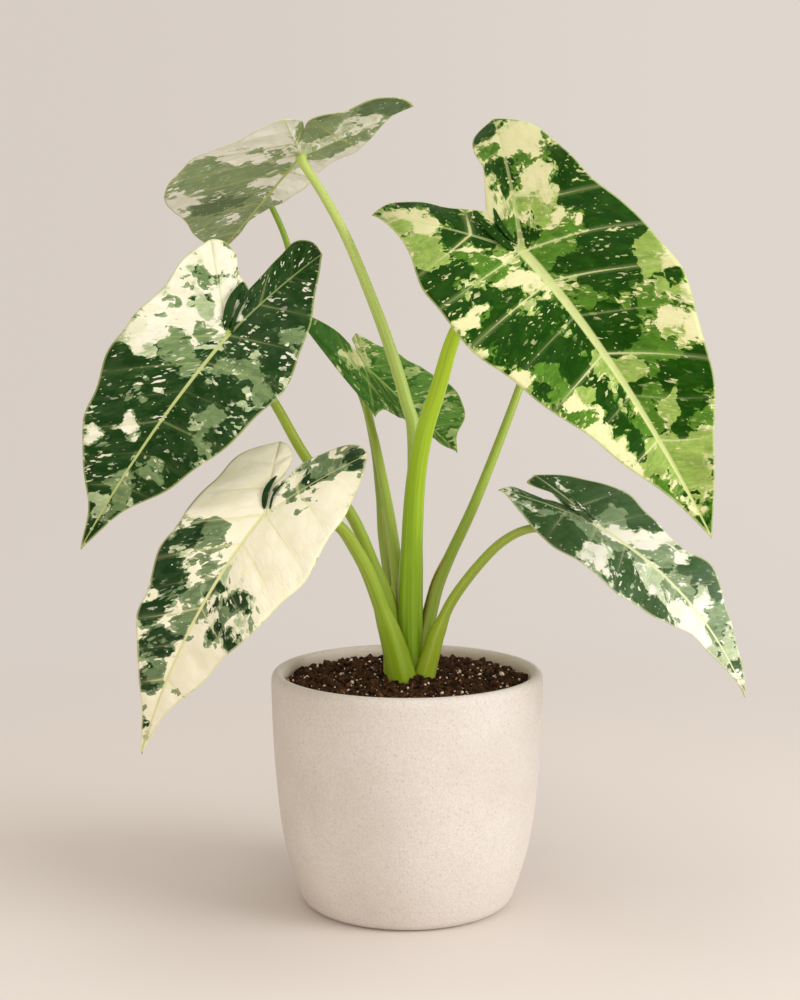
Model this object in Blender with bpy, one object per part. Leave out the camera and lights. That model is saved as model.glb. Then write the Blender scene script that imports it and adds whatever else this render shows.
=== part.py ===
"""A variegated alocasia in a round stoneware pot: pot, soil, rootstock, and a stalk and a blade a leaf.

Driving dimensions are in millimetres. The origin is the middle of the pot's base, +Z up.
"""
import math

import bmesh
import bpy
import numpy as np

MM = 0.001
GAP = 0.3                   # clearance between pieces that touch

POT_SIDES = 48
POT_HEIGHT = 143.0
RIM_RADIUS = 82.5
BASE_RADIUS = 59.0
LIP_WIDTH = 8.0             # wall at the rim
FLOOR_THICKNESS = 11.0
SOIL_TOP = 136.5
SOIL_CLOD = 1.3             # height of the crumbs on the soil
STALK_FOOT = 124.0          # height at which the stalks stand on the rootstock
ROOTSTOCK_RADIUS = 29.0
ROOTSTOCK_CENTRE = (5.0, 1.0)

BLADE = 0.9                 # thickness of a blade between its ribs
RIB = 2.4                   # how far the midrib stands out under the blade
VEINS = 7                   # side veins of a half blade, from the stalk to the tip
LOBE_VEINS = 3              # side veins of a basal lobe
ROWS = (0.0, 0.11, 0.4, 0.72, 1.0)   # rows of a half blade, from the rib to the margin
QUILT = 0.7                 # how far the blade puffs up between two veins

# One entry a leaf. stalk: where the stalk meets the blade; tip; face: the way the upper face looks.
# The margins are drawn on the flat blade, from the tip back to the end of the basal lobe:
# millimetres along the midrib from the stalk, then millimetres out from it. The inner margins
# go on from the end of the lobe to the notch.
LEAVES = {
    "right_large": dict(
        stalk=(65, -45, 394), tip=(161, -132, 242), face=(-0.02, -0.87, 0.49),
        arch=0.10, fold=0.30, curl=0.25, droop=0.5, wave=3.0, notch=(-44, 2),
        right=[(162, 23), (123, 44), (79, 56), (35, 63), (-9, 59), (-54, 61), (-98, 69), (-136, 62)],
        right_inner=[(-128, 44), (-106, 31), (-80, 21), (-60, 11)],
        left=[(165, -14), (133, -33), (98, -48), (62, -60), (25, -67), (-13, -61), (-50, -52), (-86, -52)],
        left_inner=[(-91, -36), (-80, -20), (-60, -8)]),
    "left_high": dict(
        stalk=(-101, -60, 347), tip=(-181, -92, 230), face=(-0.04, -0.96, 0.29),
        arch=0.10, fold=0.30, curl=0.25, droop=0.5, wave=2.4, notch=(-31, -9),
        right=[(116, 11), (90, 27), (61, 39), (30, 45), (-1, 45), (-30, 34), (-57, 19), (-80, 5)],
        right_inner=[(-84, -5), (-76, -12), (-60, -11), (-44, -9)],
        left=[(122, -9), (102, -25), (79, -36), (55, -43), (29, -46), (4, -45), (-21, -47), (-44, -45)],
        left_inner=[(-48, -38), (-44, -28), (-37, -20)]),
    "left_low": dict(
        stalk=(-79, -95, 250), tip=(-143, -137, 126), face=(-0.32, -0.83, 0.45),
        arch=0.10, fold=0.25, curl=0.25, droop=0.5, wave=2.2, notch=(-23, -4),
        right=[(120, 9), (96, 23), (71, 36), (45, 45), (17, 49), (-11, 46), (-37, 37), (-60, 24)],
        right_inner=[(-64, 12), (-58, 2), (-46, -2), (-34, -4)],
        left=[(122, -9), (99, -21), (75, -31), (50, -37), (24, -37), (-2, -38), (-27, -36), (-46, -25)],
        left_inner=[(-46, -18), (-38, -12), (-30, -8)]),
    "right_low": dict(
        stalk=(111, -30, 235), tip=(197, -48, 137), face=(0.47, -0.70, 0.54),
        arch=0.12, fold=0.25, curl=0.25, droop=0.5, wave=2.4, notch=(-22, 2),
        right=[(110, 9), (87, 19), (65, 26), (42, 25), (19, 27), (-5, 31), (-29, 28), (-47, 16)],
        right_inner=[(-46, 10), (-38, 8), (-30, 5)],
        left=[(107, -7), (84, -19), (62, -32), (37, -39), (11, -42), (-14, -36), (-36, -22), (-54, -6)],
        left_inner=[(-50, 1), (-40, 2), (-30, 2)]),
    "top_back": dict(
        stalk=(-64, 20, 454), tip=(-131, 160, 393), face=(-0.25, 0.27, 0.93),
        arch=0.0, fold=0.05, curl=0.0, droop=0.0, wave=2.2, notch=(-32, 10),
        right=[(129, 22), (98, 44), (75, 61), (60, 69), (36, 71), (12, 66), (-9, 55), (-29, 43),
               (-46, 28)],
        right_inner=[(-48, 21), (-40, 14)],
        left=[(139, -1), (104, -8), (74, -18), (44, -27), (19, -38), (-13, -43), (-36, -46), (-51, -54)],
        left_inner=[(-65, -34), (-68, -19), (-60, -6), (-53, 5), (-43, 11)]),
    "mid_back": dict(
        stalk=(-26, 80, 323), tip=(31, 32, 273), face=(-0.05, -0.74, 0.67),
        arch=0.0, fold=0.10, curl=0.0, droop=0.0, wave=1.2, notch=(-13, 3),
        right=[(81, 7), (73, 20), (60, 28), (47, 28), (33, 27), (17, 23), (0, 19), (-26, 12)],
        right_inner=[(-24, 8), (-18, 5)],
        left=[(77, -4), (65, -7), (53, -9), (42, -11), (35, -14), (35, -21)],
        left_inner=[(5, -18), (-21, -14), (-47, -10), (-64, -6), (-57, 0), (-38, 4), (-25, 4)]),
    "hid_right": dict(
        stalk=(98, 75, 373), tip=(150, 104, 296), face=(0.60, 0.35, 0.70),
        arch=0.10, fold=0.20, curl=0.25, droop=0.5, wave=1.6, notch=(-15, 0),
        right=[(82, 7), (66, 16), (49, 24), (31, 29), (12, 31), (-8, 29), (-25, 23), (-38, 14)],
        right_inner=[(-38, 8), (-30, 4), (-22, 2)],
        left=[(82, -7), (66, -15), (49, -23), (31, -28), (12, -30), (-8, -28), (-25, -22), (-38, -13)],
        left_inner=[(-38, -7), (-30, -3), (-22, -1)]),
    "hid_top": dict(
        stalk=(-94, 152, 441), tip=(-130, 208, 428), face=(-0.10, 0.18, 0.97),
        arch=0.08, fold=0.18, curl=0.2, droop=0.3, wave=1.2, notch=(-10, 0),
        right=[(55, 5), (44, 11), (33, 16), (21, 19), (8, 20), (-5, 19), (-16, 15), (-24, 10)],
        right_inner=[(-24, 6), (-19, 3), (-14, 1)],
        left=[(55, -5), (44, -10), (33, -15), (21, -19), (8, -20), (-5, -19), (-16, -15), (-24, -9)],
        left_inner=[(-24, -5), (-19, -2), (-14, -1)]),
}

# One entry a stalk: its foot on the rootstock, the points that it passes, and its radius at the
# soil, a third of the way up and at the blade.
STALKS = {
    "right_large": dict(foot=(8, -3), radii=(7.0, 6.4, 3.2),
                        route=[(2, -4, 186), (4, -8, 248), (9, -11, 284), (18, -14, 314),
                               (28, -20, 347), (45, -28, 375)]),
    "left_high": dict(foot=(-9, -2), radii=(4.6, 3.8, 2.4),
                      route=[(-11, -4, 180), (-21, -8, 210), (-35, -14, 242), (-59, -26, 274),
                             (-78, -36, 309)]),
    "left_low": dict(foot=(-1, -17), radii=(8.2, 4.6, 2.4),
                     route=[(-10, -18, 167), (-21, -26, 201), (-30, -34, 221), (-41, -46, 238),
                            (-59, -68, 247)]),
    "right_low": dict(foot=(18, -12), radii=(5.8, 3.2, 2.2),
                      route=[(20, -12, 168), (28, -13, 188), (43, -15, 210), (58, -18, 225),
                             (74, -20, 232), (94, -20, 230)]),
    "top_back": dict(foot=(6, 10), radii=(5.0, 4.4, 2.6),
                     route=[(4, 12, 208), (4, 13, 282), (-1, 13, 306), (-10, 13, 336),
                            (-21, 14, 366), (-36, 15, 402), (-50, 16, 428)]),
    "mid_back": dict(foot=(-6, 10), radii=(4.4, 3.8, 2.0),
                     route=[(-4, 12, 165), (-6, 20, 197), (-9, 30, 221), (-13, 44, 243),
                            (-20, 67, 275), (-26, 85, 298)]),
    "hid_right": dict(foot=(18, 3), radii=(4.0, 3.4, 2.0),
                      route=[(21, 8, 196), (28, 11, 213), (41, 18, 242), (57, 30, 280),
                             (69, 42, 310), (82, 58, 345)]),
    "hid_top": dict(foot=(-1, 19), radii=(3.6, 3.2, 2.0),
                    route=[(-8, 25, 178), (-14, 42, 216), (-17, 60, 246), (-21, 82, 274),
                           (-30, 107, 305), (-49, 126, 331), (-68, 139, 358), (-81, 149, 405)]),
}

COLOURS = {
    "pot": ((0.74, 0.67, 0.58), 0.85),
    "soil": ((0.07, 0.04, 0.025), 0.95),
    "rootstock": ((0.23, 0.15, 0.08), 0.8),
    "stalk": ((0.42, 0.55, 0.12), 0.45),
    "blade_right_large": ((0.35, 0.50, 0.12), 0.4),
    "blade_left_high": ((0.22, 0.33, 0.16), 0.4),
    "blade_left_low": ((0.70, 0.70, 0.48), 0.4),
    "blade_right_low": ((0.20, 0.32, 0.16), 0.4),
    "blade_top_back": ((0.38, 0.43, 0.30), 0.5),
    "blade_mid_back": ((0.18, 0.32, 0.10), 0.45),
    "blade_hid_right": ((0.20, 0.34, 0.12), 0.4),
    "blade_hid_top": ((0.24, 0.36, 0.16), 0.4),
}


def clear_scene():
    for old in list(bpy.data.objects):
        bpy.data.objects.remove(old, do_unlink=True)


def material(name):
    colour, roughness = COLOURS.get(name, COLOURS["stalk"])
    made = bpy.data.materials.new(name)
    made.use_nodes = True
    shader = made.node_tree.nodes["Principled BSDF"]
    shader.inputs["Base Color"].default_value = (*colour, 1.0)
    shader.inputs["Roughness"].default_value = roughness
    shader.inputs["Metallic"].default_value = 0.0
    return made


def add_object(name, mesh):
    made = bpy.data.objects.new(name, mesh)
    mesh.materials.append(material(name))
    bpy.context.scene.collection.objects.link(made)
    return made


def smooth_curve(points, count):
    """count points, evenly spaced in length, on the Catmull-Rom curve through points."""
    points = np.array(points, float)
    padded = np.vstack([2 * points[0] - points[1], points, 2 * points[-1] - points[-2]])
    steps = np.linspace(0, 1, 13)[:-1, None]
    pieces = []
    for a, b, c, d in zip(padded, padded[1:], padded[2:], padded[3:]):
        pieces.append(0.5 * (2 * b + (c - a) * steps + (2 * a - 5 * b + 4 * c - d) * steps ** 2
                             + (3 * b - a - 3 * c + d) * steps ** 3))
    curve = np.vstack(pieces + [points[-1:]])
    length = np.concatenate([[0], np.cumsum(np.linalg.norm(np.diff(curve, axis=0), axis=1))])
    even = np.linspace(0, length[-1], count)
    return np.stack([np.interp(even, length, column) for column in curve.T], axis=1)


def turned_mesh(name, profile, sides=POT_SIDES, centre=(0.0, 0.0)):
    """A closed solid of revolution: profile holds (radius, height) from one pole to the other."""
    mesh = bpy.data.meshes.new(name)
    shape = bmesh.new()
    rings = []
    for radius, height in profile:
        if radius == 0:
            rings.append([shape.verts.new((centre[0] * MM, centre[1] * MM, height * MM))] * sides)
            continue
        turn = [2 * math.pi * i / sides for i in range(sides)]
        rings.append([shape.verts.new(((centre[0] + radius * math.cos(t)) * MM,
                                       (centre[1] + radius * math.sin(t)) * MM,
                                       height * MM)) for t in turn])
    for low, high in zip(rings, rings[1:]):
        for i in range(sides):
            j = (i + 1) % sides
            corners = list(dict.fromkeys([low[i], low[j], high[j], high[i]]))
            shape.faces.new(corners)
    bmesh.ops.triangulate(shape, faces=shape.faces)
    bmesh.ops.recalc_face_normals(shape, faces=shape.faces)
    shape.to_mesh(mesh)
    shape.free()
    return mesh


def inner_profile(offset):
    """Radius and height of the inside of the pot, from the floor up, drawn in by offset."""
    wall = [(40.0, FLOOR_THICKNESS), (57.0, FLOOR_THICKNESS + 4), (66.5, 29.0), (71.5, 58.0),
            (74.0, 100.0), (RIM_RADIUS - LIP_WIDTH, 132.0)]
    return [(radius - offset, height + (offset if height < 20 else 0)) for radius, height in wall]


def make_pot():
    """The pot: a rounded foot, walls that open gently, and a rounded lip."""
    outside = [(0, 0.0), (BASE_RADIUS, 0.0), (63.0, 2.2), (66.0, 8.0), (69.8, 19.0), (74.6, 37.0),
               (78.2, 60.0), (80.9, 92.0), (82.1, 118.0), (RIM_RADIUS, 137.5), (81.6, 141.2),
               (79.0, POT_HEIGHT), (76.4, 142.4), (RIM_RADIUS - LIP_WIDTH + 0.4, 139.6)]
    inside = inner_profile(0.0)[::-1] + [(0, FLOOR_THICKNESS)]
    pot = add_object("pot", turned_mesh("pot", outside + inside))
    pot.data.shade_smooth()
    return pot


def crumb(x, y):
    """Height of the crumbs of the soil at x, y: two crossed waves, finer ones, and a mound."""
    coarse = np.sin(0.43 * x + 1.7 * np.sin(0.19 * y)) * np.sin(0.39 * y + 1.3 * np.sin(0.23 * x))
    fine = np.sin(1.13 * x + 2.1) * np.sin(1.07 * y + 0.6 * np.sin(0.5 * x))
    return SOIL_CLOD * (0.6 * coarse + 0.4 * fine)


def make_soil(cutters):
    """The soil fills the pot; its top is crumbly, and the stalks stand in plain holes in it."""
    wall = inner_profile(GAP)
    edge = wall[-1][0]
    rings = (edge, edge * 0.88, edge * 0.76, edge * 0.64, edge * 0.52, edge * 0.4, edge * 0.28, edge * 0.14)
    top = [(edge, SOIL_TOP - 1.2)] + [(radius, SOIL_TOP) for radius in rings[1:]]
    profile = [(0, wall[0][1])] + wall + top + [(0, SOIL_TOP)]
    mesh = turned_mesh("soil", profile)
    for vert in mesh.vertices:
        x, y, z = (value / MM for value in vert.co)
        if z > SOIL_TOP - 0.5 and math.hypot(x, y) < edge - 4:
            vert.co.z += float(crumb(x, y)) * MM
    soil = add_object("soil", mesh)
    for cutter in cutters:
        cut = soil.modifiers.new(cutter.name, "BOOLEAN")
        cut.object = cutter
        cut.operation = "DIFFERENCE"
        cut.solver = "EXACT"
    return soil


def rootstock_profile(offset):
    """The squat buried stem that the stalks grow from, swelled by offset."""
    shape = [(10.0, 88.0), (20.0, 92.0), (ROOTSTOCK_RADIUS - 2, 103.0),
             (ROOTSTOCK_RADIUS, 116.0), (ROOTSTOCK_RADIUS - 1, STALK_FOOT - GAP)]
    low, high = shape[0][1], shape[-1][1]
    return ([(0, low - offset)]
            + [(radius + offset, height + (offset if height == high else -offset * (height == low)))
               for radius, height in shape]
            + [(0, high + offset)])


def make_rootstock():
    mesh = turned_mesh("rootstock", rootstock_profile(0.0), 24, ROOTSTOCK_CENTRE)
    return add_object("rootstock", mesh)


def guide(name, mesh):
    """A cutter: seen as wire, and no piece of the plant."""
    made = add_object(name, mesh)
    made.hide_render = True
    made.display_type = "WIRE"
    return made


def make_cutters():
    """Room for the rootstock, and a plain round hole for each stalk."""
    made = [guide("cut_rootstock", turned_mesh("cut_rootstock", rootstock_profile(GAP), 24,
                                               ROOTSTOCK_CENTRE))]
    for name, stalk in STALKS.items():
        radius = stalk["radii"][0] + 2 * GAP
        profile = [(0, STALK_FOOT - 6), (radius, STALK_FOOT - 6), (radius, SOIL_TOP + 9),
                   (0, SOIL_TOP + 9)]
        made.append(guide("cut_" + name, turned_mesh("cut_" + name, profile, 16, stalk["foot"])))
    return made


def leaf_axes(leaf):
    """Length and unit axes of a leaf: along the midrib, across it and out of the upper face."""
    along = np.subtract(leaf["tip"], leaf["stalk"]).astype(float)
    length = np.linalg.norm(along)
    along /= length
    face = np.array(leaf["face"]) - np.dot(leaf["face"], along) * along
    face /= np.linalg.norm(face)
    return length, along, np.cross(face, along), face


def make_stalk(name):
    """A leaf stalk: a tapering tube from the rootstock to the underside of its blade."""
    leaf, stalk = LEAVES[name], STALKS[name]
    face = leaf_axes(leaf)[3]
    reach = np.array(leaf["stalk"], float)
    x, y = stalk["foot"]
    dip = 4 * leaf["arch"] * stalk["radii"][2]        # of the arched midrib beside the stalk
    top = reach - face * (BLADE + RIB + GAP + 0.1 + dip)
    route = [(x, y, SOIL_TOP + 3)] + stalk["route"] + [tuple(reach - face * 13), tuple(top - face * 3)]
    points = np.vstack([[(x, y, STALK_FOOT)], smooth_curve(route, 15), [top]])
    share = np.linspace(0, 1, len(points))
    radii = np.interp(share, (0.0, 0.06, 0.34, 1.0), (stalk["radii"][0],) * 2 + stalk["radii"][1:])
    curve = bpy.data.curves.new("stalk_" + name, "CURVE")
    curve.dimensions = "3D"
    curve.bevel_depth = MM
    curve.bevel_resolution = 2
    curve.use_fill_caps = True
    line = curve.splines.new("POLY")
    line.points.add(len(points) - 1)
    for place, point, radius in zip(line.points, points, radii):
        place.co = (*(point * MM), 1.0)
        place.radius = radius
    line.use_smooth = True
    made = bpy.data.objects.new("stalk_" + name, curve)
    curve.materials.append(material("stalk_" + name))
    bpy.context.scene.collection.objects.link(made)
    return made


def half_blade(leaf, length, side):
    """Grid rows of one half blade on the flat: the outer strip, then the strip beside the notch.

    Each strip runs from the midrib and the rib of the lobe (row 0) to the margin (row 1).
    Returns, for each, an array of x, y, share of the way to the margin, and place between veins.
    """
    margin = [(length, 0)] + leaf[side]
    lobe_end = np.array(margin[-1], float)
    body = 2 * VEINS
    lobe = 2 * LOBE_VEINS
    outer = smooth_curve(margin, body + lobe + 1)
    inner = smooth_curve([leaf["notch"]] + leaf[side + "_inner"][::-1] + [tuple(lobe_end)], lobe + 1)
    midrib = np.linspace((length, 0), (0, 0), body + 1)
    rib = np.linspace((0, 0), lobe_end, lobe + 1)
    spine = np.vstack([midrib, rib[1:]])
    strips = []
    for start, end in ((spine, outer), (rib, inner)):
        row = np.array(ROWS)[:, None, None]
        flat = start[None] * (1 - row) + end[None] * row
        share = np.broadcast_to(row[:, :, 0], flat.shape[:2])
        place = np.broadcast_to(np.arange(flat.shape[1])[None], flat.shape[:2])
        strips.append(np.dstack([flat, share, place]))
    return strips


def blade_height(leaf, length, x, y, share, place, phase):
    """Height of the upper face over the flat blade: arch, fold, curl, lobes, waves and quilting."""
    s = np.clip(x / length, 0, 1)
    height = leaf["arch"] * length * 4 * s * (1 - s)
    back = np.minimum(x, 0)
    height += leaf["arch"] * 4 * back - leaf["droop"] * back ** 2 / length
    height += leaf["fold"] * (np.sqrt(y * y + 9) - 3) - leaf["curl"] * y * y / length
    ends = np.sin(np.pi * np.clip(place / (2 * (VEINS + LOBE_VEINS)), 0, 1))
    height += leaf["wave"] * share ** 2 * np.sin(place * 0.95 + phase) * np.sqrt(np.abs(ends))
    height += QUILT * np.where(place % 2 == 1, 1, -0.4) * np.sin(np.pi * share)
    return height


def make_blade(name):
    """A leaf blade: a thin waved sheet, its ribs standing out below, closed by a narrow edge."""
    leaf = LEAVES[name]
    length, along, across, face = leaf_axes(leaf)
    points, triangles = [], []
    for side, phase in (("right", 0.4), ("left", 2.2)):
        for strip in half_blade(leaf, length, side):
            x, y, share, place = np.moveaxis(strip, 2, 0)
            height = blade_height(leaf, length, x, y, share, place, phase)
            ends = np.clip(1 - x / length, 0.15, 1)
            depth = BLADE + np.where(share == 0, RIB * ends, 0)
            first = len(points)
            points += list(np.dstack([x, y, height, depth]).reshape(-1, 4))
            rows, columns = x.shape
            for r in range(rows - 1):
                for c in range(columns - 1):
                    a, b = first + r * columns + c, first + (r + 1) * columns + c
                    triangles += [(a, a + 1, b + 1), (a, b + 1, b)]
    points = np.array(points)
    _, keep, welded = np.unique(np.round(points[:, :2], 3), axis=0, return_index=True,
                                return_inverse=True)
    welded = welded.ravel()
    points = points[keep]
    base = np.array(leaf["stalk"], float)
    flat = base + points[:, :1] * along + points[:, 1:2] * across
    upper = flat + points[:, 2:3] * face
    lower = upper - points[:, 3:4] * face
    count = len(points)
    faces, edges = [], {}
    for triangle in triangles:
        a, b, c = (int(welded[i]) for i in triangle)
        if len({a, b, c}) < 3:
            continue
        spread = np.cross(points[b, :2] - points[a, :2], points[c, :2] - points[a, :2])
        a, b, c = (a, b, c) if spread > 0 else (a, c, b)
        faces += [(a, b, c), (a + count, c + count, b + count)]
        for edge in ((a, b), (b, c), (c, a)):
            edges[edge] = True
    for a, b in edges:
        if (b, a) not in edges:
            faces += [(a, a + count, b + count), (a, b + count, b)]
    mesh = bpy.data.meshes.new("blade_" + name)
    mesh.from_pydata([tuple(p) for p in np.vstack([upper, lower]) * MM], [], faces)
    mesh.update()
    return add_object("blade_" + name, mesh)


def main():
    clear_scene()
    make_pot()
    make_rootstock()
    make_soil(make_cutters())
    for name in LEAVES:
        make_stalk(name)
        make_blade(name)


main()
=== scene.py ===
import math

import bpy
import numpy as np
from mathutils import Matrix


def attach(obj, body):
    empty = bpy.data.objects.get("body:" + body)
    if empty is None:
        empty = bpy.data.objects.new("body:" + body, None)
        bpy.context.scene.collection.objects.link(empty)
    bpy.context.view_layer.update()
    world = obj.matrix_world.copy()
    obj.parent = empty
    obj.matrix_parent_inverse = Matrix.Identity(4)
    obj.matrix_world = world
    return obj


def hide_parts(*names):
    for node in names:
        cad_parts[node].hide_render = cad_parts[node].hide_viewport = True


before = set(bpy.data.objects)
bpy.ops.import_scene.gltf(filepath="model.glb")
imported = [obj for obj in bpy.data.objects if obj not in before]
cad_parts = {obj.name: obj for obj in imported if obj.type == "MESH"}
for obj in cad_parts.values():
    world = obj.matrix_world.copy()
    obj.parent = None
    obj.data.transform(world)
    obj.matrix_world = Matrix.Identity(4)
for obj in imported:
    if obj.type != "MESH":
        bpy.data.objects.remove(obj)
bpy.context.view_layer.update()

mm = 0.001


def smoothLine(points, count):
    # Catmull-Rom curve through the points in 12 steps a span, then count points evenly along it
    points = np.array(points, float)
    padded = np.vstack([2 * points[0] - points[1], points, 2 * points[-1] - points[-2]])
    step = np.linspace(0, 1, 13)[:-1, None]
    spans = []
    for a, b, c, d in zip(padded, padded[1:], padded[2:], padded[3:]):
        spans.append(0.5 * (2 * b + (c - a) * step + (2 * a - 5 * b + 4 * c - d) * step ** 2
                            + (3 * b - a - 3 * c + d) * step ** 3))
    curve = np.vstack(spans + [points[-1:]])
    run = np.concatenate([[0], np.cumsum(np.linalg.norm(np.diff(curve, axis=0), axis=1))])
    even = np.linspace(0, run[-1], count)
    return np.stack([np.interp(even, run, column) for column in curve.T], axis=1)


def unit(vectors):
    # each vector divided by its length, and left alone where it has none
    size = np.linalg.norm(vectors, axis=-1, keepdims=True)
    return vectors / np.where(size > 1e-9, size, 1)


def ripple(points, scale, seed, waves=28):
    # sum of sine waves in random directions, about -1 to 1: sin(point . direction / scale + phase)
    pick = np.random.default_rng(seed)
    ways = unit(pick.normal(size=(waves, points.shape[-1]))) * pick.uniform(0.6, 1.6, (waves, 1))
    phase = pick.uniform(0, 2 * math.pi, waves)
    return np.sin(points @ ways.T * (2 * math.pi / scale) + phase).sum(-1) / math.sqrt(waves)


def gridTriangles(first, rows, columns, closed=False):
    # two triangles a cell of a grid; a closed grid joins its last column to its first
    r, c = np.meshgrid(np.arange(rows - 1), np.arange(columns if closed else columns - 1),
                       indexing="ij")
    a = first + r * columns + c
    b = first + r * columns + (c + 1) % columns
    return np.concatenate([np.stack([a, b, b + columns], -1).reshape(-1, 3),
                           np.stack([a, b + columns, a + columns], -1).reshape(-1, 3)])


def cappedTube(rows, sides):
    # a closed grid, and a fan at each end to one of the two points that follow its rows * sides
    here = np.arange(sides)
    after = (here + 1) % sides
    low, last = rows * sides, (rows - 1) * sides
    return np.vstack([gridTriangles(0, rows, sides, True),
                      np.stack([np.full(sides, low), after, here], 1),
                      np.stack([np.full(sides, low + 1), last + here, last + after], 1)])


def outward(points, triangles):
    # turns a closed shell the right way round when its signed volume is negative
    a, b, c = (points[triangles[:, i]] for i in range(3))
    volume = np.einsum("ij,ij->i", a, np.cross(b, c)).sum()
    return triangles if volume > 0 else triangles[:, ::-1]


def turned(profile, sides):
    # surface of revolution: every (radius, height) but the two poles makes a ring of points
    turn = np.linspace(0, 2 * math.pi, sides, endpoint=False)
    radius, height = np.array(profile, float).T
    ring = np.stack([radius[1:-1, None] * np.cos(turn), radius[1:-1, None] * np.sin(turn),
                     np.broadcast_to(height[1:-1, None], (len(radius) - 2, sides))], -1)
    points = np.vstack([ring.reshape(-1, 3), [[0, 0, height[0]], [0, 0, height[-1]]]])
    return points, outward(points, cappedTube(len(radius) - 2, sides))


def swept(line, a, b, axis):
    # a closed outline (a, b) carried along a line: a lies along the axis squared to the line,
    # b across both; the two ends are closed by fans
    ahead = unit(np.gradient(line, axis=0))
    sideA = unit(axis - (ahead @ axis)[:, None] * ahead)
    sideB = np.cross(ahead, sideA)
    body = line[:, None] + a[..., None] * sideA[:, None] + b[..., None] * sideB[:, None]
    points = np.vstack([body.reshape(-1, 3), body[0].mean(0), body[-1].mean(0)])
    return points, outward(points - points.mean(0), cappedTube(*a.shape))


def makeMesh(name, points, triangles, material):
    # points in metres; every face is shaded smooth
    mesh = bpy.data.meshes.new(name)
    mesh.from_pydata(points.tolist(), [], triangles.tolist())
    mesh.polygons.foreach_set("use_smooth", np.full(len(triangles), True))
    mesh.materials.append(material)
    made = bpy.data.objects.new(name, mesh)
    bpy.context.scene.collection.objects.link(made)
    return made


def addPiece(name, points, triangles, material, slotName, replaced=(), vectors={}):
    # points in millimetres; vectors holds named three-number attributes for the materials
    piece = makeMesh(name, points * mm, triangles, material)
    for key, values in vectors.items():
        layer = piece.data.attributes.new(key, "FLOAT_VECTOR", "POINT")
        layer.data.foreach_set("vector", np.ascontiguousarray(values, dtype=np.float32).ravel())
    piece.data.update()
    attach(piece, "root")
    if replaced:
        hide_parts(*replaced)


def hexColour(text):
    # screen colour rrggbb turned into the linear colour that shaders use
    screen = np.array([int(text[i:i + 2], 16) / 255 for i in (0, 2, 4)])
    linear = np.where(screen < 0.04045, screen / 12.92, ((screen + 0.055) / 1.055) ** 2.4)
    return (*linear.tolist(), 1.0)


def feed(tree, socket, value):
    # a link where the value comes from another node, otherwise the value itself
    if isinstance(value, bpy.types.NodeSocket):
        tree.links.new(value, socket)
    else:
        socket.default_value = value


def addNode(tree, kind, inputs, **settings):
    # a shader node with its settings made and its inputs fed
    made = tree.nodes.new("ShaderNode" + kind)
    for key, value in settings.items():
        setattr(made, key, value)
    for key, value in inputs.items():
        feed(tree, made.inputs[key], value)
    return made


def compute(tree, operation, *values):
    # one sum of Blender's Math node
    return addNode(tree, "Math", dict(enumerate(values)), operation=operation).outputs[0]


def times(tree, a, b):
    # a * b
    return compute(tree, "MULTIPLY", a, b)


def timesPlus(tree, a, b, c):
    # a * b + c
    return compute(tree, "MULTIPLY_ADD", a, b, c)


def fromAxis(tree, x, y):
    # distance from the upright axis: square root of x * x + y * y
    return compute(tree, "SQRT", timesPlus(tree, x, x, times(tree, y, y)))


def stretched(tree, vector, factors):
    # each of the vector's three numbers times its own factor
    return addNode(tree, "VectorMath", {0: vector, 1: factors}, operation="MULTIPLY").outputs[0]


def shifted(tree, vector, by):
    # vector plus by, where by may be one number for all three
    if not isinstance(by, tuple):
        by = addNode(tree, "CombineXYZ", {0: by, 1: by, 2: by}).outputs[0]
    return addNode(tree, "VectorMath", {0: vector, 1: by}, operation="ADD").outputs[0]


def mixColour(tree, amount, first, second, how="MIX"):
    # first * (1 - amount) + second * amount, or another way of mixing
    return addNode(tree, "Mix", {0: amount, 6: first, 7: second}, data_type="RGBA",
                   blend_type=how).outputs[2]


def softStep(tree, value, low, high, start=0.0, end=1.0):
    # start below low, end above high, and an S-shaped change between
    return addNode(tree, "MapRange", {"Value": value, "From Min": low, "From Max": high,
                                      "To Min": start, "To Max": end},
                   interpolation_type="SMOOTHSTEP").outputs[0]


def noise(tree, vector, scale, detail=2.0, roughness=0.5, output=0):
    # Perlin noise, 0 to 1; output 1 gives three of them as one vector
    return addNode(tree, "TexNoise", {"Vector": vector, "Scale": scale, "Detail": detail,
                                      "Roughness": roughness}).outputs[output]


def cells(tree, vector, scale):
    # distance to the middle of the cell, a random colour for the cell, and the middle itself
    made = addNode(tree, "TexVoronoi", {"Vector": vector, "Scale": scale})
    return made.outputs["Distance"], made.outputs["Color"], made.outputs["Position"]


def attribute(tree, name):
    # the vector that the mesh holds under this name
    return addNode(tree, "Attribute", {}, attribute_name=name).outputs["Vector"]


def objectAt(tree):
    # the place on the object, in metres
    return addNode(tree, "TexCoord", {}).outputs["Object"]


def parts(tree, vector):
    # the vector's three numbers
    return addNode(tree, "SeparateXYZ", {0: vector}).outputs


def newGroup(name, numbers, colours, outputs):
    # an empty node group with its number and colour inputs and its outputs
    tree = bpy.data.node_groups.new(name, "ShaderNodeTree")
    for kind, labels in (("Float", numbers), ("Color", colours)):
        for label in labels:
            tree.interface.new_socket(name=label, in_out="INPUT", socket_type="NodeSocket" + kind)
    for label in outputs:
        kind = "Color" if label == "Colour" else "Float"
        tree.interface.new_socket(name=label, in_out="OUTPUT", socket_type="NodeSocket" + kind)
    return tree, tree.nodes.new("NodeGroupInput").outputs, tree.nodes.new("NodeGroupOutput").inputs


def newMaterial(name, **fixed):
    # fixed sets the shader's own sockets, by name with underscores for the spaces
    made = bpy.data.materials.new(name)
    made.use_nodes = True
    tree = made.node_tree
    shader = tree.nodes["Principled BSDF"]
    for key, value in fixed.items():
        shader.inputs[key.replace("_", " ")].default_value = value
    return made, tree, shader


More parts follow.
